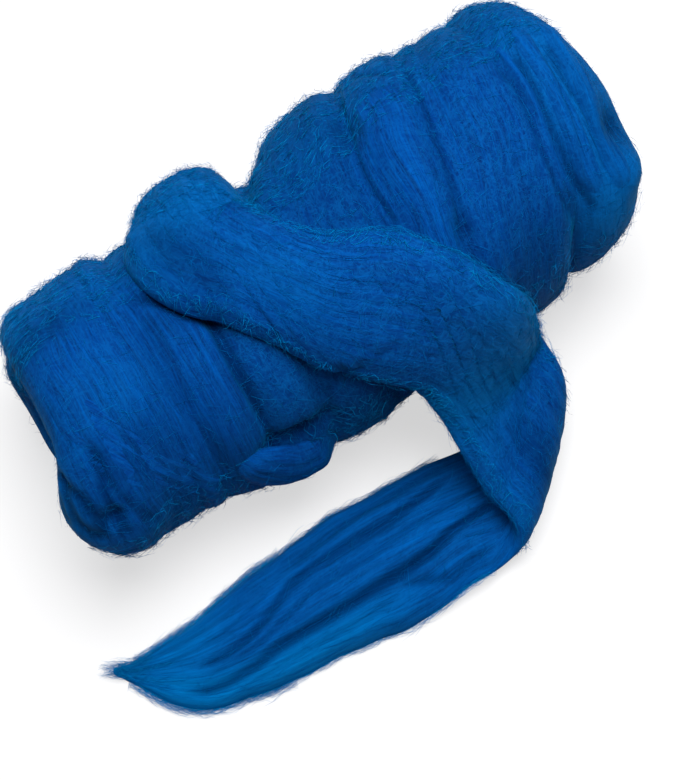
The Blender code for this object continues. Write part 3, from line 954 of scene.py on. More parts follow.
# fmt: off
LOCKS = (
    Lock("satin_fold", 0.0014, 0.16, 0.05, (
        (0.0540, 36, 0.0050), (0.0610, 46, 0.0125), (0.0622, 58, 0.0175),
        (0.0590, 71, 0.0203), (0.0525, 85, 0.0222), (0.0492, 98, 0.0195),
        (0.0468, 111, 0.0162), (0.0430, 125, 0.0140), (0.0400, 146, 0.0130),
        (0.0360, 176, 0.0080),
    ), flatness=2.6, edge_dark=0.50),
    Lock("rim_fold", 0.0011, 0.60, 0.55, (
        (-0.166, 44, 0.005), (-0.180, 62, 0.011), (-0.188, 84, 0.012), (-0.190, 106, 0.011),
        (-0.187, 126, 0.009), (-0.184, 143, 0.007), (-0.178, 160, 0.005), (-0.170, 176, 0.003),
    )),
    Lock("corner_fold", 0.0004, 0.3, 0.30, (
        (-0.1680, 104, 0.002), (-0.1650, 120, 0.0034), (-0.1640, 134, 0.0036),
        (-0.1630, 150, 0.0036), (-0.1600, 170, 0.002),
    ), flatness=2.0),
    Lock("drum_sweep", 0.0004, 0.18, 0.0, (
        (-0.160, 78, 0.006), (-0.156, 98, 0.014), (-0.149, 118, 0.018), (-0.139, 138, 0.019),
        (-0.126, 158, 0.017), (-0.111, 178, 0.013), (-0.097, 198, 0.005),
    )),
    Lock("tucked_loop", 0.0042, 0.22, 0.0, (
        (-0.1010, 156, 0.004), (-0.0960, 167, 0.009), (-0.0870, 177, 0.0140),
        (-0.0730, 186, 0.0160), (-0.0570, 187, 0.0145), (-0.0430, 179, 0.006),
    ), spans=True, flatness=2.0),
    Lock("end_strip_inner", 0.0008, 0.3, 0.1, (
        (0.1310, 50, 0.002), (0.1290, 70, 0.0042), (0.1268, 90, 0.0048),
        (0.1192, 114, 0.0050), (0.1170, 132, 0.0050), (0.1200, 152, 0.002),
    )),
    Lock("end_strip_middle", 0.0012, 0.35, 0.25, (
        (0.1450, 52, 0.003), (0.1420, 74, 0.0070), (0.1380, 95, 0.0068),
        (0.1340, 114, 0.0075), (0.1300, 133, 0.0070), (0.1330, 156, 0.003),
    )),
    Lock("end_strip_outer", 0.0022, 0.35, 0.45, (
        (0.1600, 56, 0.003), (0.1560, 78, 0.0060), (0.1520, 98, 0.0062),
        (0.1485, 115, 0.0062), (0.1430, 136, 0.0065), (0.1400, 158, 0.003),
    )),
)
# fmt: on
print("locks:", [lock.name for lock in LOCKS])

# %% A cover that spans the creases
CREASE_SPAN = 0.008
SPAN_STEPS = [
    (i * CREASE_SPAN, j * CREASE_SPAN / MEAN_RADIUS) for i in (-1, 0, 1) for j in (-1, 0, 1)
]


def highest_near(along, angle):
    return np.max([roll_height(along + i, angle + j) for i, j in SPAN_STEPS], axis=0)


def support_height(along, angle):
    """A smooth cover that touches the roll's high places and spans its creases."""
    return np.mean([highest_near(along + i, angle + j) for i, j in SPAN_STEPS], axis=0)


# %% One lock as a closed band
LOCK_RINGS, LOCK_ACROSS, LOCK_BELOW = 64, 25, 7
LOCK_TUCK, LOCK_DEPTH, LOCK_RIDGES = 0.0032, 0.002, 0.00016
# The radius that a lock's angles are turned into lengths at, and the shares of its length over
# which it rises out of the wool and takes on its own colour.
LOCK_RADIUS, LOCK_EASE, LOCK_FADE = 0.066, 0.22, 0.24


def path_of(rows):
    """The share of the length at each row of a path in plan, and the length."""
    run = np.concatenate([[0.0], np.cumsum(np.hypot(*np.diff(rows[:, :2], axis=0).T))])
    return run / run[-1], run[-1]


def between_ends(t, ease):
    return ramp(t, 0.0, ease) * ramp(t, 1.0, -ease)


def lock_band(lock, seed):
    rows = np.array(lock.path, float)
    rows[:, 1] = np.radians(rows[:, 1]) * LOCK_RADIUS
    places, length = path_of(rows)
    share = np.linspace(0, 1, LOCK_RINGS)
    line = smooth_through(places, rows, share)
    heading = np.gradient(line[:, :2], axis=0)
    heading /= np.linalg.norm(heading, axis=1, keepdims=True)
    across, is_top, v = band_section(LOCK_ACROSS, LOCK_BELOW)
    t, side = np.moveaxis(grid(share, across), -1, 0)
    reach = side * line[:, 2:3]
    place = line[:, 0:1] + reach * heading[:, 1:2]
    turned = (line[:, 1:2] - reach * heading[:, 0:1]) / LOCK_RADIUS
    arch = np.clip(1 - np.abs(side) ** lock.flatness, 0, 1) ** 0.7
    arch = arch * between_ends(t, LOCK_EASE)
    ridges = LOCK_RIDGES * combed_ridges(t * 5, reach, seed, longest=0.007) * arch
    top = arch * (lock.rise + LOCK_TUCK) - LOCK_TUCK + ridges
    below = -LOCK_TUCK - LOCK_DEPTH * (1 - side**2)
    base = support_height(place, turned) if lock.spans else dressed_height(place, turned)
    points = off_the_roll(place, turned, base + np.where(is_top, top, below))
    half_width = float(np.median(line[:, 2]))
    uv = grid(share * length, v * half_width)
    # Painted shade along the lock's edges, and part of the creases' shade where it doesn't span
    # them.
    hollow = lock.edge_dark * ramp(np.abs(side), 0.82, 0.18)
    if not lock.spans:
        hollow = np.maximum(hollow, 0.6 * painted_crease_shade(place, turned))
    shown = between_ends(t, LOCK_FADE)
    own = {"felt": lock.felt, "hollow": hollow, "thin": lock.thin}
    marks = faded(own, turn_marks(place, turned), shown)
    made = skin("lock_" + lock.name, points, uv, is_loop=False, marks=marks)
    made.data.materials.append(roll_wool)
    return made, length, 2 * half_width


locks = [lock_band(lock, 60 + number) for number, lock in enumerate(LOCKS)]
print("locks:", sum(len(made.data.polygons) for made, *_ in locks), "faces")

# %% [markdown]
# ## The loose end
#
# The strand's last length is the part that everybody sees first: a flattened band that crosses
# the roll on a slant, slopes down to the table, folds under itself and runs back to a pulled-apart
# tip. It is worked out flat, as a middle line with a width and a thickness, and then laid over the
# roll, down the slope and round the fold. Cloth simulation would have to invent the thickness of
# this soft body, so the same rules that made its solid are used here, on a much finer mesh.

# %% Where the loose end lies
STRAND_GAP = 0.0009
SLOPE_RUN, SLOPE_LEFT, SLOPE_RIGHT = 0.092, 0.010, 0.090
LEAVES_AT, LEAVES_LOWER_BY = math.radians(137), math.radians(16)
LANDED_Y, LANDED_NEARER_BY, LANDING_EASE = -0.122, 0.030, 1.3
FOLD_FAR, FOLD_TIP = (0.0655, -0.1083), (0.0030, -0.1700)
UPPER_LAYER_FAR, UPPER_LAYER_TIP, LOWER_LAYER = 0.044, 0.031, 0.0095
RISE_FROM_FOLD, RISE_EASES_IN, SETTLING_RUN = 1.10, 0.020, 0.050
VALLEY_DEPTH, VALLEY_WIDTH = 0.30, 0.16

# Angle round the roll, x, half width, half thickness.
ON_THE_ROLL = (
    (-62, -0.044, 0.010, 0.0013),
    (-52, -0.044, 0.021, 0.0028),
    (-25, -0.046, 0.026, 0.0062),
    (15, -0.047, 0.027, 0.0090),
    (45, -0.054, 0.030, 0.0095),
    (70, -0.0610, 0.0375, 0.0085),
    (90, -0.0465, 0.0320, 0.0080),
    (110, -0.0270, 0.0330, 0.0080),
    (130, 0.0005, 0.0395, 0.0080),
)
# Place in plan, half width, half thickness.
ON_THE_SLOPE = (
    (0.0370, -0.087, 0.0408, 0.0085),
    (0.0455, -0.108, 0.0385, 0.0088),
)
ON_THE_TABLE = (
    (-0.004, -0.1435, 0.0390, 0.0090),
    (-0.024, -0.1410, 0.0405, 0.0095),
    (-0.058, -0.1385, 0.0375, 0.0095),
    (-0.091, -0.1370, 0.0340, 0.0090),
    (-0.128, -0.1355, 0.0303, 0.0080),
    (-0.161, -0.1325, 0.0235, 0.0065),
    (-0.186, -0.1240, 0.0132, 0.0045),
    (-0.2025, -0.1150, 0.0046, 0.0028),
    (-0.2105, -0.1085, 0.0014, 0.0014),
)
# Place across the strand at the fold and at the tip.
VALLEYS = ((-0.40, -0.62), (0.45, 0.02), (0.86, 0.62))
print("loose end:", len(ON_THE_ROLL) + len(ON_THE_SLOPE) + len(ON_THE_TABLE), "stations")


# %% The ribbon fold
class Fold:
    """Past a line drawn in plan, the strand bends under and runs back mirrored."""

    tip = np.array(FOLD_TIP)
    length = math.dist(FOLD_FAR, FOLD_TIP)
    line = (np.array(FOLD_FAR) - np.array(FOLD_TIP)) / length
    outward = np.array((line[1], -line[0]))

    @classmethod
    def upper_height(cls, plan):
        share = np.clip((plan - cls.tip) @ cls.line / cls.length, 0.0, 1.3)
        before = np.maximum(-((plan - cls.tip) @ cls.outward), 0.0)
        rise = RISE_FROM_FOLD * before**2 / (before + RISE_EASES_IN)
        return UPPER_LAYER_TIP + (UPPER_LAYER_FAR - UPPER_LAYER_TIP) * share + rise

    @classmethod
    def unfold(cls, plan):
        behind = -((plan - cls.tip) @ cls.outward)
        on_line = plan + behind[..., None] * cls.outward
        radius = (cls.upper_height(on_line) - LOWER_LAYER) / 2
        return on_line + (behind + math.pi * radius)[..., None] * cls.outward

    @classmethod
    def bend(cls, plan, height, thickness):
        past = (plan - cls.tip) @ cls.outward
        on_line = plan - past[..., None] * cls.outward
        radius = (cls.upper_height(on_line) - LOWER_LAYER) / 2
        turned = np.clip(past / radius, 0.0, math.pi)
        back = np.clip(past - math.pi * radius, 0.0, None)
        folded = on_line + (radius * np.sin(turned) - back)[..., None] * cls.outward
        bent_height = cls.upper_height(on_line) - radius * (1 - np.cos(turned))
        settled = ramp(back, 0.0, SETTLING_RUN)
        bent_height = bent_height * (1 - settled) + thickness * settled
        folded_under = past > 0
        flat = np.where(folded_under[..., None], folded, plan)
        height = np.where(folded_under, bent_height, height)
        return np.concatenate([flat, height[..., None]], axis=-1)


print(f"fold line: {Fold.length * 1000:.0f} mm long in plan")


# %% From the roll down to the table
# The step that slopes on the strand are measured over.
STEP = 1e-3


def to_the_right(x):
    return ramp(x, SLOPE_LEFT, SLOPE_RIGHT - SLOPE_LEFT)


def leaving_angle(x):
    return LEAVES_AT + LEAVES_LOWER_BY * to_the_right(x)


def landed_y(x):
    return LANDED_Y + LANDED_NEARER_BY * to_the_right(x)


def run_in_plan(x, y):
    leave_y = off_the_roll(np.array(x), leaving_angle(np.array(x)), np.array(0.018))[1]
    share = (leave_y - y) / (leave_y - landed_y(x))
    return SLOPE_RUN * np.minimum(share, 1.0) + np.maximum(landed_y(x) - y, 0.0)


def strand_slope(x, share, leave, leaving):
    foot_y = landed_y(x)
    foot_height = Fold.upper_height(np.stack([x, foot_y], axis=-1))
    foot = np.stack([foot_y, foot_height], axis=-1)
    beyond = Fold.upper_height(np.stack([x, foot_y - STEP], axis=-1))
    drop = np.linalg.norm(foot - leave, axis=-1, keepdims=True)
    heading = np.stack([-np.ones_like(x), (beyond - foot_height) / STEP], axis=-1)
    landing = heading * LANDING_EASE * (leave[..., :1] - foot_y[..., None])
    return cubic(leave, leaving * drop, foot, landing, share[..., None])


# %% The strand's middle line and its surface
def strand_middle():
    """The share of the length at each row, the rows and the length. A row is x, the distance
    run past the roll, and the two half sizes."""
    rows = []
    for angle, x, *sizes in ON_THE_ROLL:
        rows.append((x, MEAN_RADIUS * (math.radians(angle) - leaving_angle(x)), *sizes))
    for x, y, *sizes in ON_THE_SLOPE:
        rows.append((x, run_in_plan(x, y), *sizes))
    for x, y, *sizes in ON_THE_TABLE:
        x, y = Fold.unfold(np.array((x, y)))
        rows.append((x, run_in_plan(x, y), *sizes))
    places, length = path_of(np.array(rows))
    return places, np.array(rows), length


def strand_surface(x, run, thickness):
    angle = leaving_angle(x) + np.minimum(run, 0.0) / MEAN_RADIUS
    lift = support_height(x, angle) + STRAND_GAP + thickness
    on_roll = off_the_roll(x, angle, lift)
    before = off_the_roll(x, angle - STEP / MEAN_RADIUS, lift)
    leaving = (on_roll - before)[..., 1:] / STEP
    share = np.clip(run / SLOPE_RUN, 0.0, 1.0)
    slope = strand_slope(x, share, on_roll[..., 1:], leaving)
    plan = np.stack([x, slope[..., 0] - np.maximum(run - SLOPE_RUN, 0.0)], axis=-1)
    height = np.where(run < SLOPE_RUN, slope[..., 1], Fold.upper_height(plan))
    beyond = Fold.bend(plan, height, thickness)
    return np.where((run <= 0)[..., None], on_roll, beyond)


STRAND_LENGTH = strand_middle()[2]
print(f"loose end: {STRAND_LENGTH:.3f} m along its middle line")


# %% The leg's grooves
class Groove(NamedTuple):
    """A line of painted shade, which on the underside is also cut in between two ridges: depth as
    a share, width, and shares of length with places across."""

    depth: float
    width: float
    path: tuple


# fmt: off
GROOVES = (
    Groove(0.30, 0.0024, (
        (0.690, 0.80), (0.732, 0.77), (0.765, 0.73), (0.808, 0.69), (0.850, 0.62),
    )),
    Groove(0.50, 0.0030, (
        (0.695, 0.62), (0.731, 0.45), (0.751, 0.34), (0.779, 0.38), (0.816, 0.40),
        (0.841, 0.32), (0.861, 0.10), (0.878, -0.06), (0.898, -0.16), (0.935, -0.20),
    )),
    Groove(0.62, 0.0028, (
        (0.655, -0.10), (0.686, -0.18), (0.711, -0.30), (0.742, -0.36), (0.771, -0.40),
        (0.815, -0.45), (0.852, -0.47), (0.872, -0.57), (0.898, -0.66), (0.940, -0.72),
    )),
    Groove(0.36, 0.0026, ((0.655, -0.72), (0.698, -0.80), (0.719, -0.62), (0.750, -0.44))),
    Groove(0.26, 0.0022, (
        (0.660, 0.30), (0.720, 0.14), (0.770, 0.06), (0.820, 0.08), (0.870, -0.28),
        (0.930, -0.45),
    )),
    Groove(0.18, 0.0022, ((0.740, -0.66), (0.790, -0.72), (0.850, -0.74), (0.890, -0.84))),
    Groove(0.22, 0.0020, ((0.850, 0.50), (0.890, 0.30), (0.930, 0.22), (0.975, 0.10))),
)
# Soft streaks of painted shade on the upper face, where it is seen on the roll.
SHADE_STREAKS_ABOVE = (
    Groove(0.16, 0.0050, ((0.350, 0.50), (0.390, 0.36), (0.420, 0.26), (0.460, 0.18))),
    Groove(0.12, 0.0045, ((0.430, 0.02), (0.470, -0.05), (0.520, -0.12))),
    Groove(0.12, 0.0050, ((0.300, -0.30), (0.350, -0.42), (0.400, -0.50), (0.440, -0.55))),
    Groove(0.60, 0.0140, ((0.222, -0.40), (0.262, -0.42), (0.300, -0.75))),
    Groove(0.62, 0.0110, ((0.550, -0.15), (0.600, -0.20), (0.632, -0.30))),
)
# fmt: on
print("grooves:", len(GROOVES), "streaks above:", len(SHADE_STREAKS_ABOVE))


# A groove starts and ends over these shares of the length.
GROOVE_STARTS, GROOVE_ENDS = 0.02, 0.03


def grooves(share, across, half_width, paths=GROOVES):
    total = np.zeros_like(across)
    for groove in paths:
        shares, places = zip(*groove.path)
        off = (across - np.interp(share, shares, places)) * half_width
        shown = ramp(share, shares[0], GROOVE_STARTS) * ramp(share, shares[-1], -GROOVE_ENDS)
        total = total + groove.depth * shown * bell(off, groove.width)
    return np.clip(total, 0.0, 0.8)


# %% The strand's thickness, ridges and valleys
class Knuckle(NamedTuple):
    """A swelling where the strand folds: its share of the length, its place across, its reach
    along and across, and its rise as a share of the thickness."""

    share: float
    across: float
    along: float
    wide: float
    rise: float


KNUCKLE = Knuckle(0.690, -0.47, 0.024, 0.20, 0.30)
STRAND_RIDGES, RIDGED_WIDTH, SECTION_BLUNTNESS = 0.00014, 0.036, 2.6
# Where the strand comes down to the table, and over how much of its length.
REACHES_TABLE = (0.58, 0.10)


def on_table(share):
    return ramp(share, *REACHES_TABLE)


def valleys(share, across):
    kept = np.ones_like(across)
    for at_fold, at_tip in VALLEYS:
        middle = at_fold + (at_tip - at_fold) * np.clip((share - 0.6) / 0.4, 0, 1)
        kept = kept - VALLEY_DEPTH * on_table(share) * bell(across - middle, VALLEY_WIDTH)
    rise = bell(share - KNUCKLE.share, KNUCKLE.along) * bell(across - KNUCKLE.across, KNUCKLE.wide)
    return kept + KNUCKLE.rise * rise


def edge_waver(share, across):
    """Pulled wool has no straight edge: it wanders a few millimetres, each side its own way."""
    side = np.sign(across)
    wave = np.sin(71 * share + 1.3 * side) + 0.6 * np.sin(157 * share + 2.9 * side + 0.7)
    return 1 + 0.013 * wave * across**2


def strand_point(share, angle):
    """A place on the strand's outside, from its share of the length and its angle round."""
    places, rows, _ = strand_middle()
    x, run, half_width, half_thickness = np.moveaxis(smooth_through(places, rows, share), -1, 0)
    ahead, behind = (smooth_through(places, rows, share + way) for way in (STEP, -STEP))
    heading = unit((ahead - behind)[..., :2])
    across = np.cos(angle)
    reach = across * half_width * edge_waver(share, across)
    at_x = x + reach * heading[..., 1]
    at_run = run - reach * heading[..., 0]
    body = half_thickness * np.sqrt(np.clip(1 - np.abs(across) ** SECTION_BLUNTNESS, 0, 1))
    by_x, by_run = (
        strand_surface(at_x + i, at_run + j, body) - strand_surface(at_x - i, at_run - j, body)
        for i, j in ((STEP, 0.0), (0.0, STEP))
    )
    normal = unit(np.cross(by_run, by_x))
    side = np.sign(np.sin(angle))
    # The grooves and valleys are on the underside, which the fold turns up.
    kept = valleys(share, across) * (1 - grooves(share, across, half_width))
    kept = np.where(side > 0, 1.0, kept)
    ridges = combed_ridges(share * 9.0, across * RIDGED_WIDTH, 40, shortest=0.003)
    ridges = ridges * STRAND_RIDGES * np.clip(body / 0.006, 0, 1)
    middle = strand_surface(at_x, at_run, body)
    return middle + normal * (side * (body * kept + ridges))[..., None]


# %% The strand's marks
# A share of the length, and how felted the strand is there, or how much painted shade it gets.
# fmt: off
STRAND_FELT = (
    (0.0, 0.9), (0.22, 0.85), (0.27, 0.50), (0.32, 0.35), (0.38, 0.45), (0.46, 0.85),
    (0.53, 0.60), (0.60, 0.35), (0.68, 0.08),
)
STRAND_SHADE = (
    (0.0, 0.10), (0.22, 0.02), (0.25, 0.05), (0.28, 0.0), (0.56, 0.0), (0.60, 0.10), (0.66, 0.0),
)
# fmt: on
STRONGEST_GLOW = 1.9


def strand_marks(share, angle):
    across, is_below = np.cos(angle), np.sin(angle) < 0
    _, rows, _ = strand_middle()
    leg_width = np.median(rows[-len(ON_THE_TABLE) :, 2])
    # Painted shade in the grooves and valleys underneath, along the streaks above, and in patches.
    hollow = 1.3 * grooves(share, across, leg_width) + 0.35 * (1 - valleys(share, across))
    hollow = hollow * is_below * ramp(share, 1.0, -0.06)
    hollow = hollow + grooves(share, across, RIDGED_WIDTH, SHADE_STREAKS_ABOVE) * ~is_below
    hollow = hollow + np.interp(share, *zip(*STRAND_SHADE)) * np.clip(1.0 + across, 0.0, 2.0)
    # Painted glow where the wool is thin on the table, more so at its near edge and its tip, and
    # painted light on the slope, where the fold turns, along the top and at the start.
    at_edge = ramp(across, -0.20, -0.6) * ramp(share, 0.70, 0.12)
    at_tip, at_start = ramp(share, 0.87, 0.08), ramp(share, 0.27, -0.05)
    turning = bell(share - 0.60, 0.035) * ramp(across, -0.45, -0.4)
    sloping = bell(share - 0.50, 0.045) * ~is_below
    along_top = bell(share - 0.31, 0.05) * bell(across - 0.1, 0.5) * ~is_below
    thin = on_table(share) * (0.45 + 1.35 * at_edge) + 1.0 * at_tip + 1.0 * at_start
    thin = thin + 0.4 * turning + 1.5 * sloping + 0.4 * along_top
    return {
        "felt": np.interp(share, *zip(*STRAND_FELT)),
        "hollow": np.clip(hollow, 0.0, 1.0),
        "thin": np.clip(thin, 0.0, STRONGEST_GLOW),
    }


# %% The strand's mesh
STRAND_RINGS, STRAND_AROUND, STRAND_UV_WIDTH = 300, 145, 0.072


def loose_end():
    share = np.linspace(0.0008, 0.9992, STRAND_RINGS)
    turn = np.linspace(0, 2, STRAND_AROUND)
    # The points crowd towards the two edges, where the section bends most.
    angle = math.pi * (turn + 0.45 * np.sin(2 * math.pi * turn) / (2 * math.pi))
    length, turned = np.moveaxis(grid(share, angle[:-1]), -1, 0)
    over = angle <= math.pi + 1e-9
    v = np.where(over, (1 - np.cos(angle)) / 2, 1 + (1 + np.cos(angle)) / 2)
    uv = grid(share * STRAND_LENGTH, STRAND_UV_WIDTH * v)
    marks = strand_marks(length, turned)
    return skin("loose_strand", strand_point(length, turned), uv, is_loop=False, marks=marks)


strand = loose_end()
strand.data.materials.append(strand_wool)
print("loose end:", len(strand.data.polygons), "faces")

# %% [markdown]
# ## Fibres
#
# What separates wool from blue clay is its fibres: a nap of fine hairs that lie along the strand,
# and strays that stand off it and show as a soft fuzz against the light. Geometry Nodes make them.
# One short curve is copied many times. Each copy gets a random place in the strand's UV map, and
# its points are looked up on the surface with Sample UV Surface, so a fibre bends as the strand
# does. Then each curve becomes a thin three-sided rod that narrows to both ends.

# %% The fibre tree
# A fibre starts this far below the skin, and none comes nearer to the table than this.
ROOT_DEPTH, LOWEST_FIBRE = 0.00012, 0.0002
NO_LIMIT = -9.0


def fibre_tree():
    tree, given = new_group(
        "Laid fibres",
        "GeometryNodeTree",
        {
            "Surface": "Geometry",
            "Count": 1000,
            "Points": 5,
            "Length": 0.06,
            "Radius": 0.00012,
            "Lift": 0.0008,
            "Free End": 0.0,
            "Wander": 0.002,
            "Waves": 2.2,
            "Stray": 0.15,
            "From": "Vector",
            "To": "Vector",
            "Lowest": "Vector",
            "Highest": "Vector",
            "Seed": 1,
            "Material": "Material",
        },
        {"Fibres": "Geometry"},
    )
    line = node(tree, "GeometryNodeCurvePrimitiveLine")
    finer = node(tree, "GeometryNodeResampleCurve", {"Curve": line, "Count": given["Points"]})
    sizes = {"Geometry": finer, "Amount": given["Count"]}
    copies = node(tree, "GeometryNodeDuplicateElements", sizes, domain="SPLINE")
    each = copies.output("Duplicate Index")

    def random(low, high, salt, kind="FLOAT"):
        sizes = {"Min": low, "Max": high, "ID": each, "Seed": given["Seed"] + float(salt)}
        return node(tree, "FunctionNodeRandomValue", sizes, data_type=kind)

    def parts(vector):
        apart = node(tree, "ShaderNodeSeparateXYZ", {"Vector": vector})
        return apart, apart.output("Y")

    # Where each point of a fibre lies in the UV map.
    t = node(tree, "GeometryNodeSplineParameter", output="Factor")
    start_u, start_v = parts(random(given["From"], given["To"], 1, "FLOAT_VECTOR"))
    length = given["Length"] * random(0.45, 1.3, 2)
    stray = given["Stray"] * random(-1.0, 1.0, 3) * random(-1.0, 1.0, 4).math("ABSOLUTE")
    way = (t - 0.5) * length
    at_wave = combined(tree, t * given["Waves"], random(0.0, 400.0, 5))
    sway = noise(tree, at_wave, 1.0, 1.0, "Color") - (0.5, 0.5, 0.5)
    wobble = parts(sway)[0] * given["Wander"]
    u = start_u + way * stray.math("COSINE")
    v = start_v + way * stray.math("SINE") + wobble * 2.0
    within = combined(tree, u, v).math("MAXIMUM", given["Lowest"])
    within = within.math("MINIMUM", given["Highest"])
    label = {"Name": "UVMap"}
    uv_map = node(tree, "GeometryNodeInputNamedAttribute", label, data_type="FLOAT_VECTOR")

    def on_surface(kind):
        sizes = {"Mesh": given["Surface"], "Value": node(tree, kind), "UV Map": uv_map}
        sizes["Sample UV"] = within
        kinds = {"data_type": "FLOAT_VECTOR"}
        return node(tree, "GeometryNodeSampleUVSurface", sizes, "Value", **kinds)

    # How far it stands off the surface: as an arch, or rising to a free end.
    place = on_surface("GeometryNodeInputPosition")
    outward = on_surface("GeometryNodeInputNormal").math("NORMALIZE")
    laid = t * (1.0 - t) * 4.0
    free = t.math("POWER", 1.8)
    lift = given["Lift"] * random(0.2, 1.0, 6).math("POWER", 2.0)
    rise = lift * blend(given["Free End"], laid, free, "FLOAT") - ROOT_DEPTH
    curl = sway * (lift * free * given["Free End"])
    lifted = (place + outward * rise + curl).math("MAXIMUM", (NO_LIMIT, NO_LIMIT, LOWEST_FIBRE))
    sizes = {"Geometry": copies, "Position": lifted}
    laid_out = node(tree, "GeometryNodeSetPosition", sizes)
    sizes = {"Geometry": laid_out, "Name": "shade", "Value": random(0.0, 1.0, 7)}
    kinds = {"data_type": "FLOAT", "domain": "CURVE"}
    shaded = node(tree, "GeometryNodeStoreNamedAttribute", sizes, **kinds)

    # Each curve becomes a thin rod that narrows to both ends.
    thick = given["Radius"] * random(0.5, 1.0, 8)
    section = node(tree, "GeometryNodeCurvePrimitiveCircle", {"Resolution": 3, "Radius": 1.0})
    sizes = {"Curve": shaded, "Profile Curve": section, "Fill Caps": True}
    sizes["Scale"] = thick * (laid + 0.02).math("POWER", 0.5)
    rod = node(tree, "GeometryNodeCurveToMesh", sizes)
    real = node(tree, "GeometryNodeRealizeInstances", {"Geometry": rod})
    sizes = {"Geometry": real, "Material": given["Material"]}
    put_out(tree, Fibres=node(tree, "GeometryNodeSetMaterial", sizes))
    return tree


FIBRES = fibre_tree()
print("node tree:", FIBRES.name, "with", len(FIBRES.nodes), "nodes")


# %% The fibres' finish
def fibre_wool(name, deep, light):
    """Each fibre has its own shade, between a deep and a light green and blue."""
    material, tree, shader = wool_shader(name, roughness=0.5)
    colour = blend(attribute(tree, "shade"), (0.0, *deep, 1.0), (0.0, *light, 1.0))
    plug(colour, shader.inputs["Base Color"])
    return material


nap_wool = fibre_wool("wool_nap", (0.030, 0.17), (0.120, 0.47))
stray_wool = fibre_wool("wool_strays", (0.055, 0.27), (0.190, 0.60))
fuzz_wool = fibre_wool("wool_fuzz", (0.070, 0.31), (0.195, 0.55))
wisp_wool = fibre_wool("wool_wisps", (0.105, 0.38), (0.270, 0.66))


# %% Laying fibres on a piece
def lay_fibres(surface, name, sizes):
    """Runs the tree on a stand-in of the surface, and keeps what it made as a plain mesh."""
    host = linked(name, surface.data)
    modifier = host.modifiers.new("Fibres", "NODES")
    modifier.node_group = FIBRES
    sockets = FIBRES.interface.items_tree
    identifiers = {s.name: s.identifier for s in sockets if s.in_out == "INPUT"}
    for label, value in sizes.items():
        modifier[identifiers[label]] = value
    host.update_tag()
    bpy.context.view_layer.update()
    graph = bpy.context.evaluated_depsgraph_get()
    mesh = bpy.data.meshes.new_from_object(host.evaluated_get(graph))
    bpy.data.objects.remove(host, do_unlink=True)
    mesh.name = name
    mesh.shade_smooth()
    return linked(name, mesh)


def triangles(piece):
    piece.data.calc_loop_triangles()
    return len(piece.data.loop_triangles)


# %% Kinds of fibre
class Fibre(NamedTuple):
    """How many lie on a square metre, and the shape of each. All but the first are the fibre
    tree's inputs of the same names."""

    per_area: float
    points: int
    length: float
    radius: float
    lift: float
    wander: float
    waves: float
    stray: float
    free_end: float
    material: bpy.types.Material


NAP = Fibre(22000, 5, 0.040, 0.00009, 0.0006, 0.003, 1.6, 0.22, 0.0, nap_wool)
CROSSING = Fibre(24000, 6, 0.020, 0.00010, 0.0010, 0.014, 3.4, 2.6, 0.0, stray_wool)
FUZZ = Fibre(52000, 5, 0.0105, 0.00010, 0.0050, 0.012, 3.6, 3.0, 1.0, fuzz_wool)
HALO = Fibre(90000, 5, 0.0090, 0.00016, 0.0050, 0.010, 3.6, 3.0, 1.0, wisp_wool)
WISP = Fibre(780000, 6, 0.028, 0.00010, 0.0016, 0.0060, 2.4, 0.34, 0.0, wisp_wool)
CURL = Fibre(1000000, 8, 0.024, 0.00012, 0.0060, 0.0130, 4.2, 0.8, 1.0, wisp_wool)
laid = {}


def lay(group, surface, kind, low, high, seed, share=1.0, limits=None):
    """Lays one kind of fibre on a part of a piece's UV map, and keeps it with its group. A fibre
    starts between `low` and `high`, and stays inside `limits`, or else inside the same two."""
    lowest, highest = limits or (low, high)
    area = (high[0] - low[0]) * (high[1] - low[1])
    sizes = {label_of(word): value for word, value in kind._asdict().items()}
    sizes["Count"] = int(share * sizes.pop("Per Area") * area)
    corners = {"From": low, "To": high, "Lowest": lowest, "Highest": highest}
    sizes |= {label: (*corner, 0.0) for label, corner in corners.items()}
    laid.setdefault(group, []).append(lay_fibres(surface, group, sizes | {"Seed": seed}))


# %% Fibres on the roll
ROUND = 2 * math.pi * MEAN_RADIUS
# Turns and locks with their middle left of this have their fuzz in the left piece.
HALVES_MEET = -0.01
EDGE_MARGIN, END_MARGIN, LOCK_MARGIN = 0.002, 0.004, 0.0006


def at_angle(degrees):
    """The U of an angle round the roll."""
    return math.radians(degrees + 90) * MEAN_RADIUS


def fuzz_piece(x):
    return "fuzz_roll_left" if x < HALVES_MEET else "fuzz_roll_right"


# The roll shows from its far side, at -30 degrees, to its near side, at 215.
for seed, (turn, band) in enumerate(zip(OUTER_TURNS, turns)):
    near_edge, far_edge = EDGE_MARGIN, 2 * turn.half_width - EDGE_MARGIN
    low, high = (at_angle(-30), near_edge), (at_angle(215), far_edge)
    fuzz, felt = fuzz_piece(turn.top), LOOKS[turn.name].felt
    lay("nap_roll", band, NAP, low, high, 100 + seed, share=1.1 - 0.6 * felt)
    lay("crossing_roll", band, CROSSING, low, high, 120 + seed, share=0.25 + 0.75 * felt)
    lay(fuzz, band, FUZZ, low, high, 140 + seed, share=0.22 + 0.25 * felt)
    # More hairs where the far outline and the near one are seen.
    lay(fuzz, band, HALO, (at_angle(-5), near_edge), (at_angle(74), far_edge), 270 + seed)
    lay(fuzz, band, HALO, (at_angle(160), near_edge), high, 290 + seed, share=0.4)
for seed, (lock, (made, length, width)) in enumerate(zip(LOCKS, locks)):
    low, high = (END_MARGIN, LOCK_MARGIN), (length - END_MARGIN, width - LOCK_MARGIN)
    lay("nap_roll", made, NAP, low, high, 160 + seed, share=1.5)
    lay("crossing_roll", made, CROSSING, low, high, 180 + seed, share=0.3)
    lay(fuzz_piece(lock.path[0][0]), made, FUZZ, low, high, 190 + seed, share=0.2)

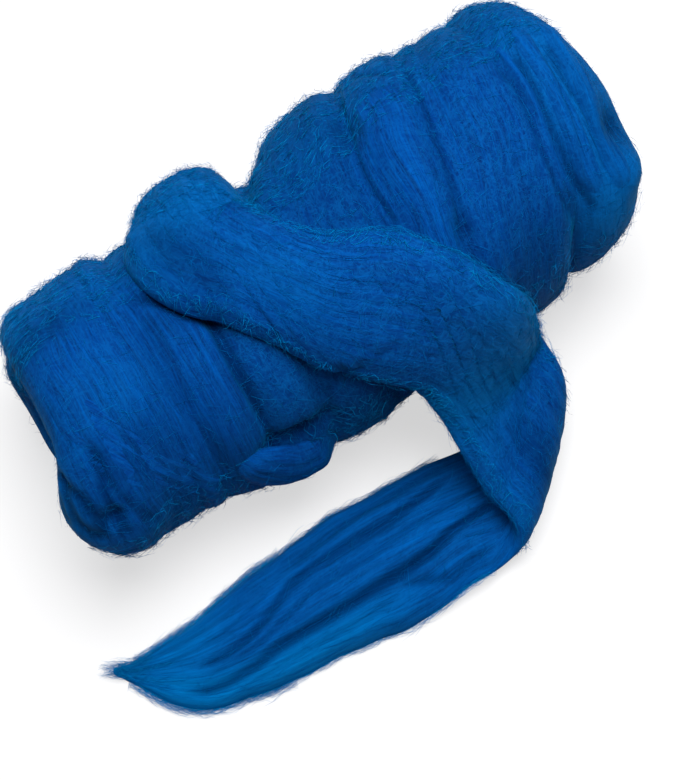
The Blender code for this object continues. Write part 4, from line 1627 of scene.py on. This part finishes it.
# %% Fibres on the end faces and the loose end
POLE_MARGIN = 0.006
ends = {
    "left": (FIRST + POLE_MARGIN, LEFT_FACE - END_MARGIN),
    "right": (RIGHT_FACE + END_MARGIN, LAST - POLE_MARGIN),
}
for seed, (side, (inner, outer)) in enumerate(ends.items()):
    low, high = (EDGE_MARGIN, inner), (ROUND - EDGE_MARGIN, outer)
    lay("nap_roll", core, NAP, low, high, 210 + seed, share=0.4)
    lay("crossing_roll", core, CROSSING, low, high, 220 + seed, share=0.5)
    lay("fuzz_roll_" + side, core, FUZZ, low, high, 230 + seed, share=0.4)
# The strand turns over at its fold, so its upper face is seen before it and its lower face after.
TURNS_OVER, FOLD_OVERLAP = 0.56 * STRAND_LENGTH, 0.03
upper = ((0.010, 0.0005), (TURNS_OVER + FOLD_OVERLAP, 0.0735))
lower = ((TURNS_OVER - FOLD_OVERLAP, 0.0705), (STRAND_LENGTH - 0.003, 0.1435))
for seed, ((low, high), crossing, fuzz) in enumerate(((upper, 1.2, 0.8), (lower, 0.3, 0.3))):
    lay("nap_loose_end", strand, NAP, low, high, 240 + seed, share=1.6)
    lay("crossing_loose_end", strand, CROSSING, low, high, 250 + seed, share=crossing)
    lay("fuzz_loose_end", strand, FUZZ, low, high, 260 + seed, share=fuzz)
# Along the strand's two edges on the roll, and where it starts.
edge_strips = ((0.16, 0.0005), (0.46, 0.008)), ((0.12, 0.064), (0.46, 0.0715))
for seed, (low, high) in enumerate(edge_strips):
    lay("fuzz_loose_end", strand, HALO, low, high, 265 + seed, share=2.4)
lay("fuzz_loose_end", strand, HALO, (0.090, 0.006), (0.160, 0.066), 268)
lay("crossing_loose_end", strand, CROSSING, (0.100, 0.006), (0.180, 0.066), 269, share=1.5)


# %% Guides for the wisps at the strand's edges and tip
def run_along(points):
    return np.append(0.0, np.cumsum(np.linalg.norm(np.diff(points, axis=0), axis=1)))


def guide(name, rows):
    """A grid of points as a strip, with U along it and V across it in metres."""
    count, across = rows.shape[:2]
    corners = quads_of(count - 1, across - 1)
    uv = grid(run_along(rows[:, across // 2]), run_along(rows.mean(0)))
    faces = np.stack([a * across + b for a, b in corners], axis=1).tolist()
    face_uv = np.stack([uv[a, b] for a, b in corners], axis=1)
    mesh = mesh_with_uv(name, rows.reshape(-1, 3), faces, face_uv)
    return linked(name, mesh), *uv[-1, -1]


def edge_guide(start, end, angle):
    """A strip that leaves the strand's edge sideways. `angle` is 0 or pi, for either edge."""
    share = np.linspace(start, end, 50)
    edge = strand_point(share, np.full(50, angle + 1e-4))
    outward = edge - strand_point(share, np.full(50, math.pi - angle))
    outward[:, 2] = 0
    outward /= np.linalg.norm(outward, axis=1, keepdims=True)
    rows = edge[:, None] + outward[:, None] * np.linspace(-0.002, 0.012, 8)[None, :, None]
    rows[..., 2] += 0.0012 + 0.0006 * np.sin(40 * share)[:, None]
    return guide("edge_guide", rows)


# The tip's brush: the way past the tip, half the width and the height.
TIP_BRUSH = (
    (-0.036, 0.0110, 0.0090),
    (-0.010, 0.0044, 0.0046),
    (0.003, 0.0026, 0.0026),
    (0.012, 0.0014, 0.0020),
)


def tip_guide():
    """A soft brush over the tip. It starts back on the wool and ends a little past it."""
    before, tip = strand_point(np.array((0.955, 0.998)), np.full(2, math.pi / 2))
    heading = math.atan2(tip[1] - before[1], tip[0] - before[0])
    onward = np.array((math.cos(heading), math.sin(heading), 0.0))
    sideways = np.array((-math.sin(heading), math.cos(heading), 0.0))
    ways, widths, heights = zip(*TIP_BRUSH)
    places = grid(np.linspace(ways[0], ways[-1], 13), np.linspace(-1, 1, 7))
    way, side = np.moveaxis(places, -1, 0)
    rows = onward * way[..., None] + sideways * (side * np.interp(way, ways, widths))[..., None]
    rows[..., 2] = np.interp(way, ways, heights) * (1 - 0.5 * side**2)
    return guide("tip_guide", rows + np.array((tip[0], tip[1], 0.0)))


# %% Wisps
# A strip, the kind of fibre, how far across its middles may lie, and their share.
wisps = (
    (edge_guide(0.70, 0.985, 0.0), WISP, 0.003, 1.3),
    (edge_guide(0.84, 0.985, 0.0), WISP, 0.005, 1.1),
    (edge_guide(0.84, 0.985, math.pi), WISP, 0.005, 0.8),
    (edge_guide(0.66, 0.985, math.pi), WISP, 0.003, 1.1),
    (edge_guide(0.20, 0.60, 0.0), WISP, 0.003, 0.4),
    (edge_guide(0.47, 0.62, math.pi), WISP._replace(material=fuzz_wool), 0.003, 0.5),
    (tip_guide(), CURL, 0.024, 1.3),
)
for seed, ((strip, length, width), kind, reach, share) in enumerate(wisps):
    limits = ((0.0005, 0.0001), (length - 0.0005, width - 0.0001))
    low, high = ((0.001, 0.0005), (length - 0.001, reach))
    if kind is CURL:
        low, high = (0.010, 0.0006), (reach + 0.010, width - 0.0006)
    lay("wisps_loose_end", strip, kind, low, high, 280 + seed, share, limits)
    bpy.data.objects.remove(strip, do_unlink=True)


# %% One piece for each group of fibres
def joined(name, pieces):
    with bpy.context.temp_override(active_object=pieces[0], selected_editable_objects=pieces):
        bpy.ops.object.join()
    pieces[0].name = pieces[0].data.name = name
    return pieces[0]


fibres = [joined(name, pieces) for name, pieces in laid.items()]
print("fibre pieces:", {piece.name: triangles(piece) for piece in fibres})
print("fibre triangles:", sum(triangles(piece) for piece in fibres))

# %% [markdown]
# ## Joining the pieces to the solids
#
# The core and its turns stand for the wound roll's solid, and the fine strand for the loose end's.

# %% Riding and replacing
roll_pieces = [core, *turns, *(made for made, *_ in locks)]
for piece in [*roll_pieces, strand, *fibres]:
    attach(piece, "root")
for piece in roll_pieces:
    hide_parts("wound_roll")
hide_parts("loose_end")
# Half of the closed skin is one side of the sheet.
millilitres = signed_volume(strand.data) * 1e6

# %% [markdown]
# ## Floor, light and camera
#
# The floor is plain and nearly white. One broad soft light hangs overhead, a little behind, and a
# pale surround fills the shadows, as in a light tent.

# %% The floor
FLOOR_HALF_SIDE, FLOOR_Z, FLOOR_GLOW = 6.0, -0.0004, 0.62


def pale_floor():
    mesh = bpy.data.meshes.new("floor")
    signs = ((-1, -1), (1, -1), (1, 1), (-1, 1))
    corners = [(i * FLOOR_HALF_SIDE, j * FLOOR_HALF_SIDE, FLOOR_Z) for i, j in signs]
    mesh.from_pydata(corners, [], [(0, 1, 2, 3)])
    made = linked("floor", mesh)
    material = bpy.data.materials.new("pale_floor")
    material.use_nodes = True
    tree = material.node_tree
    shader = tree.nodes["Principled BSDF"]
    shader.inputs["Base Color"].default_value = (0.39, 0.39, 0.395, 1.0)
    shader.inputs["Roughness"].default_value = 0.9
    shader.inputs["Specular IOR Level"].default_value = 0.1
    shader.inputs["Emission Color"].default_value = (1.0, 1.0, 1.0, 1.0)
    seen = node(tree, "ShaderNodeLightPath", output="Is Camera Ray")
    plug(seen * FLOOR_GLOW, shader.inputs["Emission Strength"])
    mesh.materials.append(material)
    return made


floor = pale_floor()
print("floor:", 2 * FLOOR_HALF_SIDE, "m wide at", FLOOR_Z)


# %% The lights
LIGHT_PLACE, LIGHT_AIMS_AT = Vector((0.14, 0.11, 1.5)), Vector((0, -0.05, 0.05))
LIGHT_SIZE, LIGHT_POWER, SURROUND = 1.0, 28.0, 0.17


def overhead_light():
    data = bpy.data.lights.new("overhead", "AREA")
    data.shape, data.size, data.energy = "SQUARE", LIGHT_SIZE, LIGHT_POWER
    light = linked("overhead", data)
    light.location = LIGHT_PLACE
    light.rotation_mode = "QUATERNION"
    light.rotation_quaternion = (LIGHT_AIMS_AT - LIGHT_PLACE).to_track_quat("-Z", "Y")
    return light


overhead = overhead_light()
world = bpy.data.worlds.new("surround")
bpy.context.scene.world = world
world.use_nodes = True
background = world.node_tree.nodes["Background"].inputs
background["Color"].default_value = (1.0, 1.0, 1.0, 1.0)
background["Strength"].default_value = SURROUND
bpy.context.scene.view_settings.view_transform = "Standard"
print("light:", overhead.name, "with a surround of", SURROUND)

# %% The camera
AZIMUTH, ELEVATION, DISTANCE = math.radians(-33.8), math.radians(70.0), 1.0
LOOKS_AT = Vector((-0.02620, -0.05585, 0.04780))
METRES_PER_PIXEL, PICTURE_HEIGHT = 0.00055, 780


def studio_camera():
    data = bpy.data.cameras.new("camera")
    camera = linked("camera", data)
    level = math.cos(ELEVATION)
    right = Vector((math.cos(AZIMUTH), math.sin(AZIMUTH), 0.0))
    back = Vector((right.y * level, -right.x * level, math.sin(ELEVATION)))
    up = back.cross(right)
    camera.matrix_world = Matrix.LocRotScale(
        LOOKS_AT + back * DISTANCE, Matrix((right, up, back)).transposed(), None
    )
    data.sensor_width = 36.0
    data.sensor_fit = "AUTO"
    data.lens = data.sensor_width * DISTANCE / (METRES_PER_PIXEL * PICTURE_HEIGHT)
    data.clip_start, data.clip_end = 0.05, 30.0
    bpy.context.scene.camera = camera
    return camera


camera = studio_camera()
print(f"camera: {camera.data.lens:.1f} mm lens")

# %% Bringing the view layer up to date
bpy.context.view_layer.update()
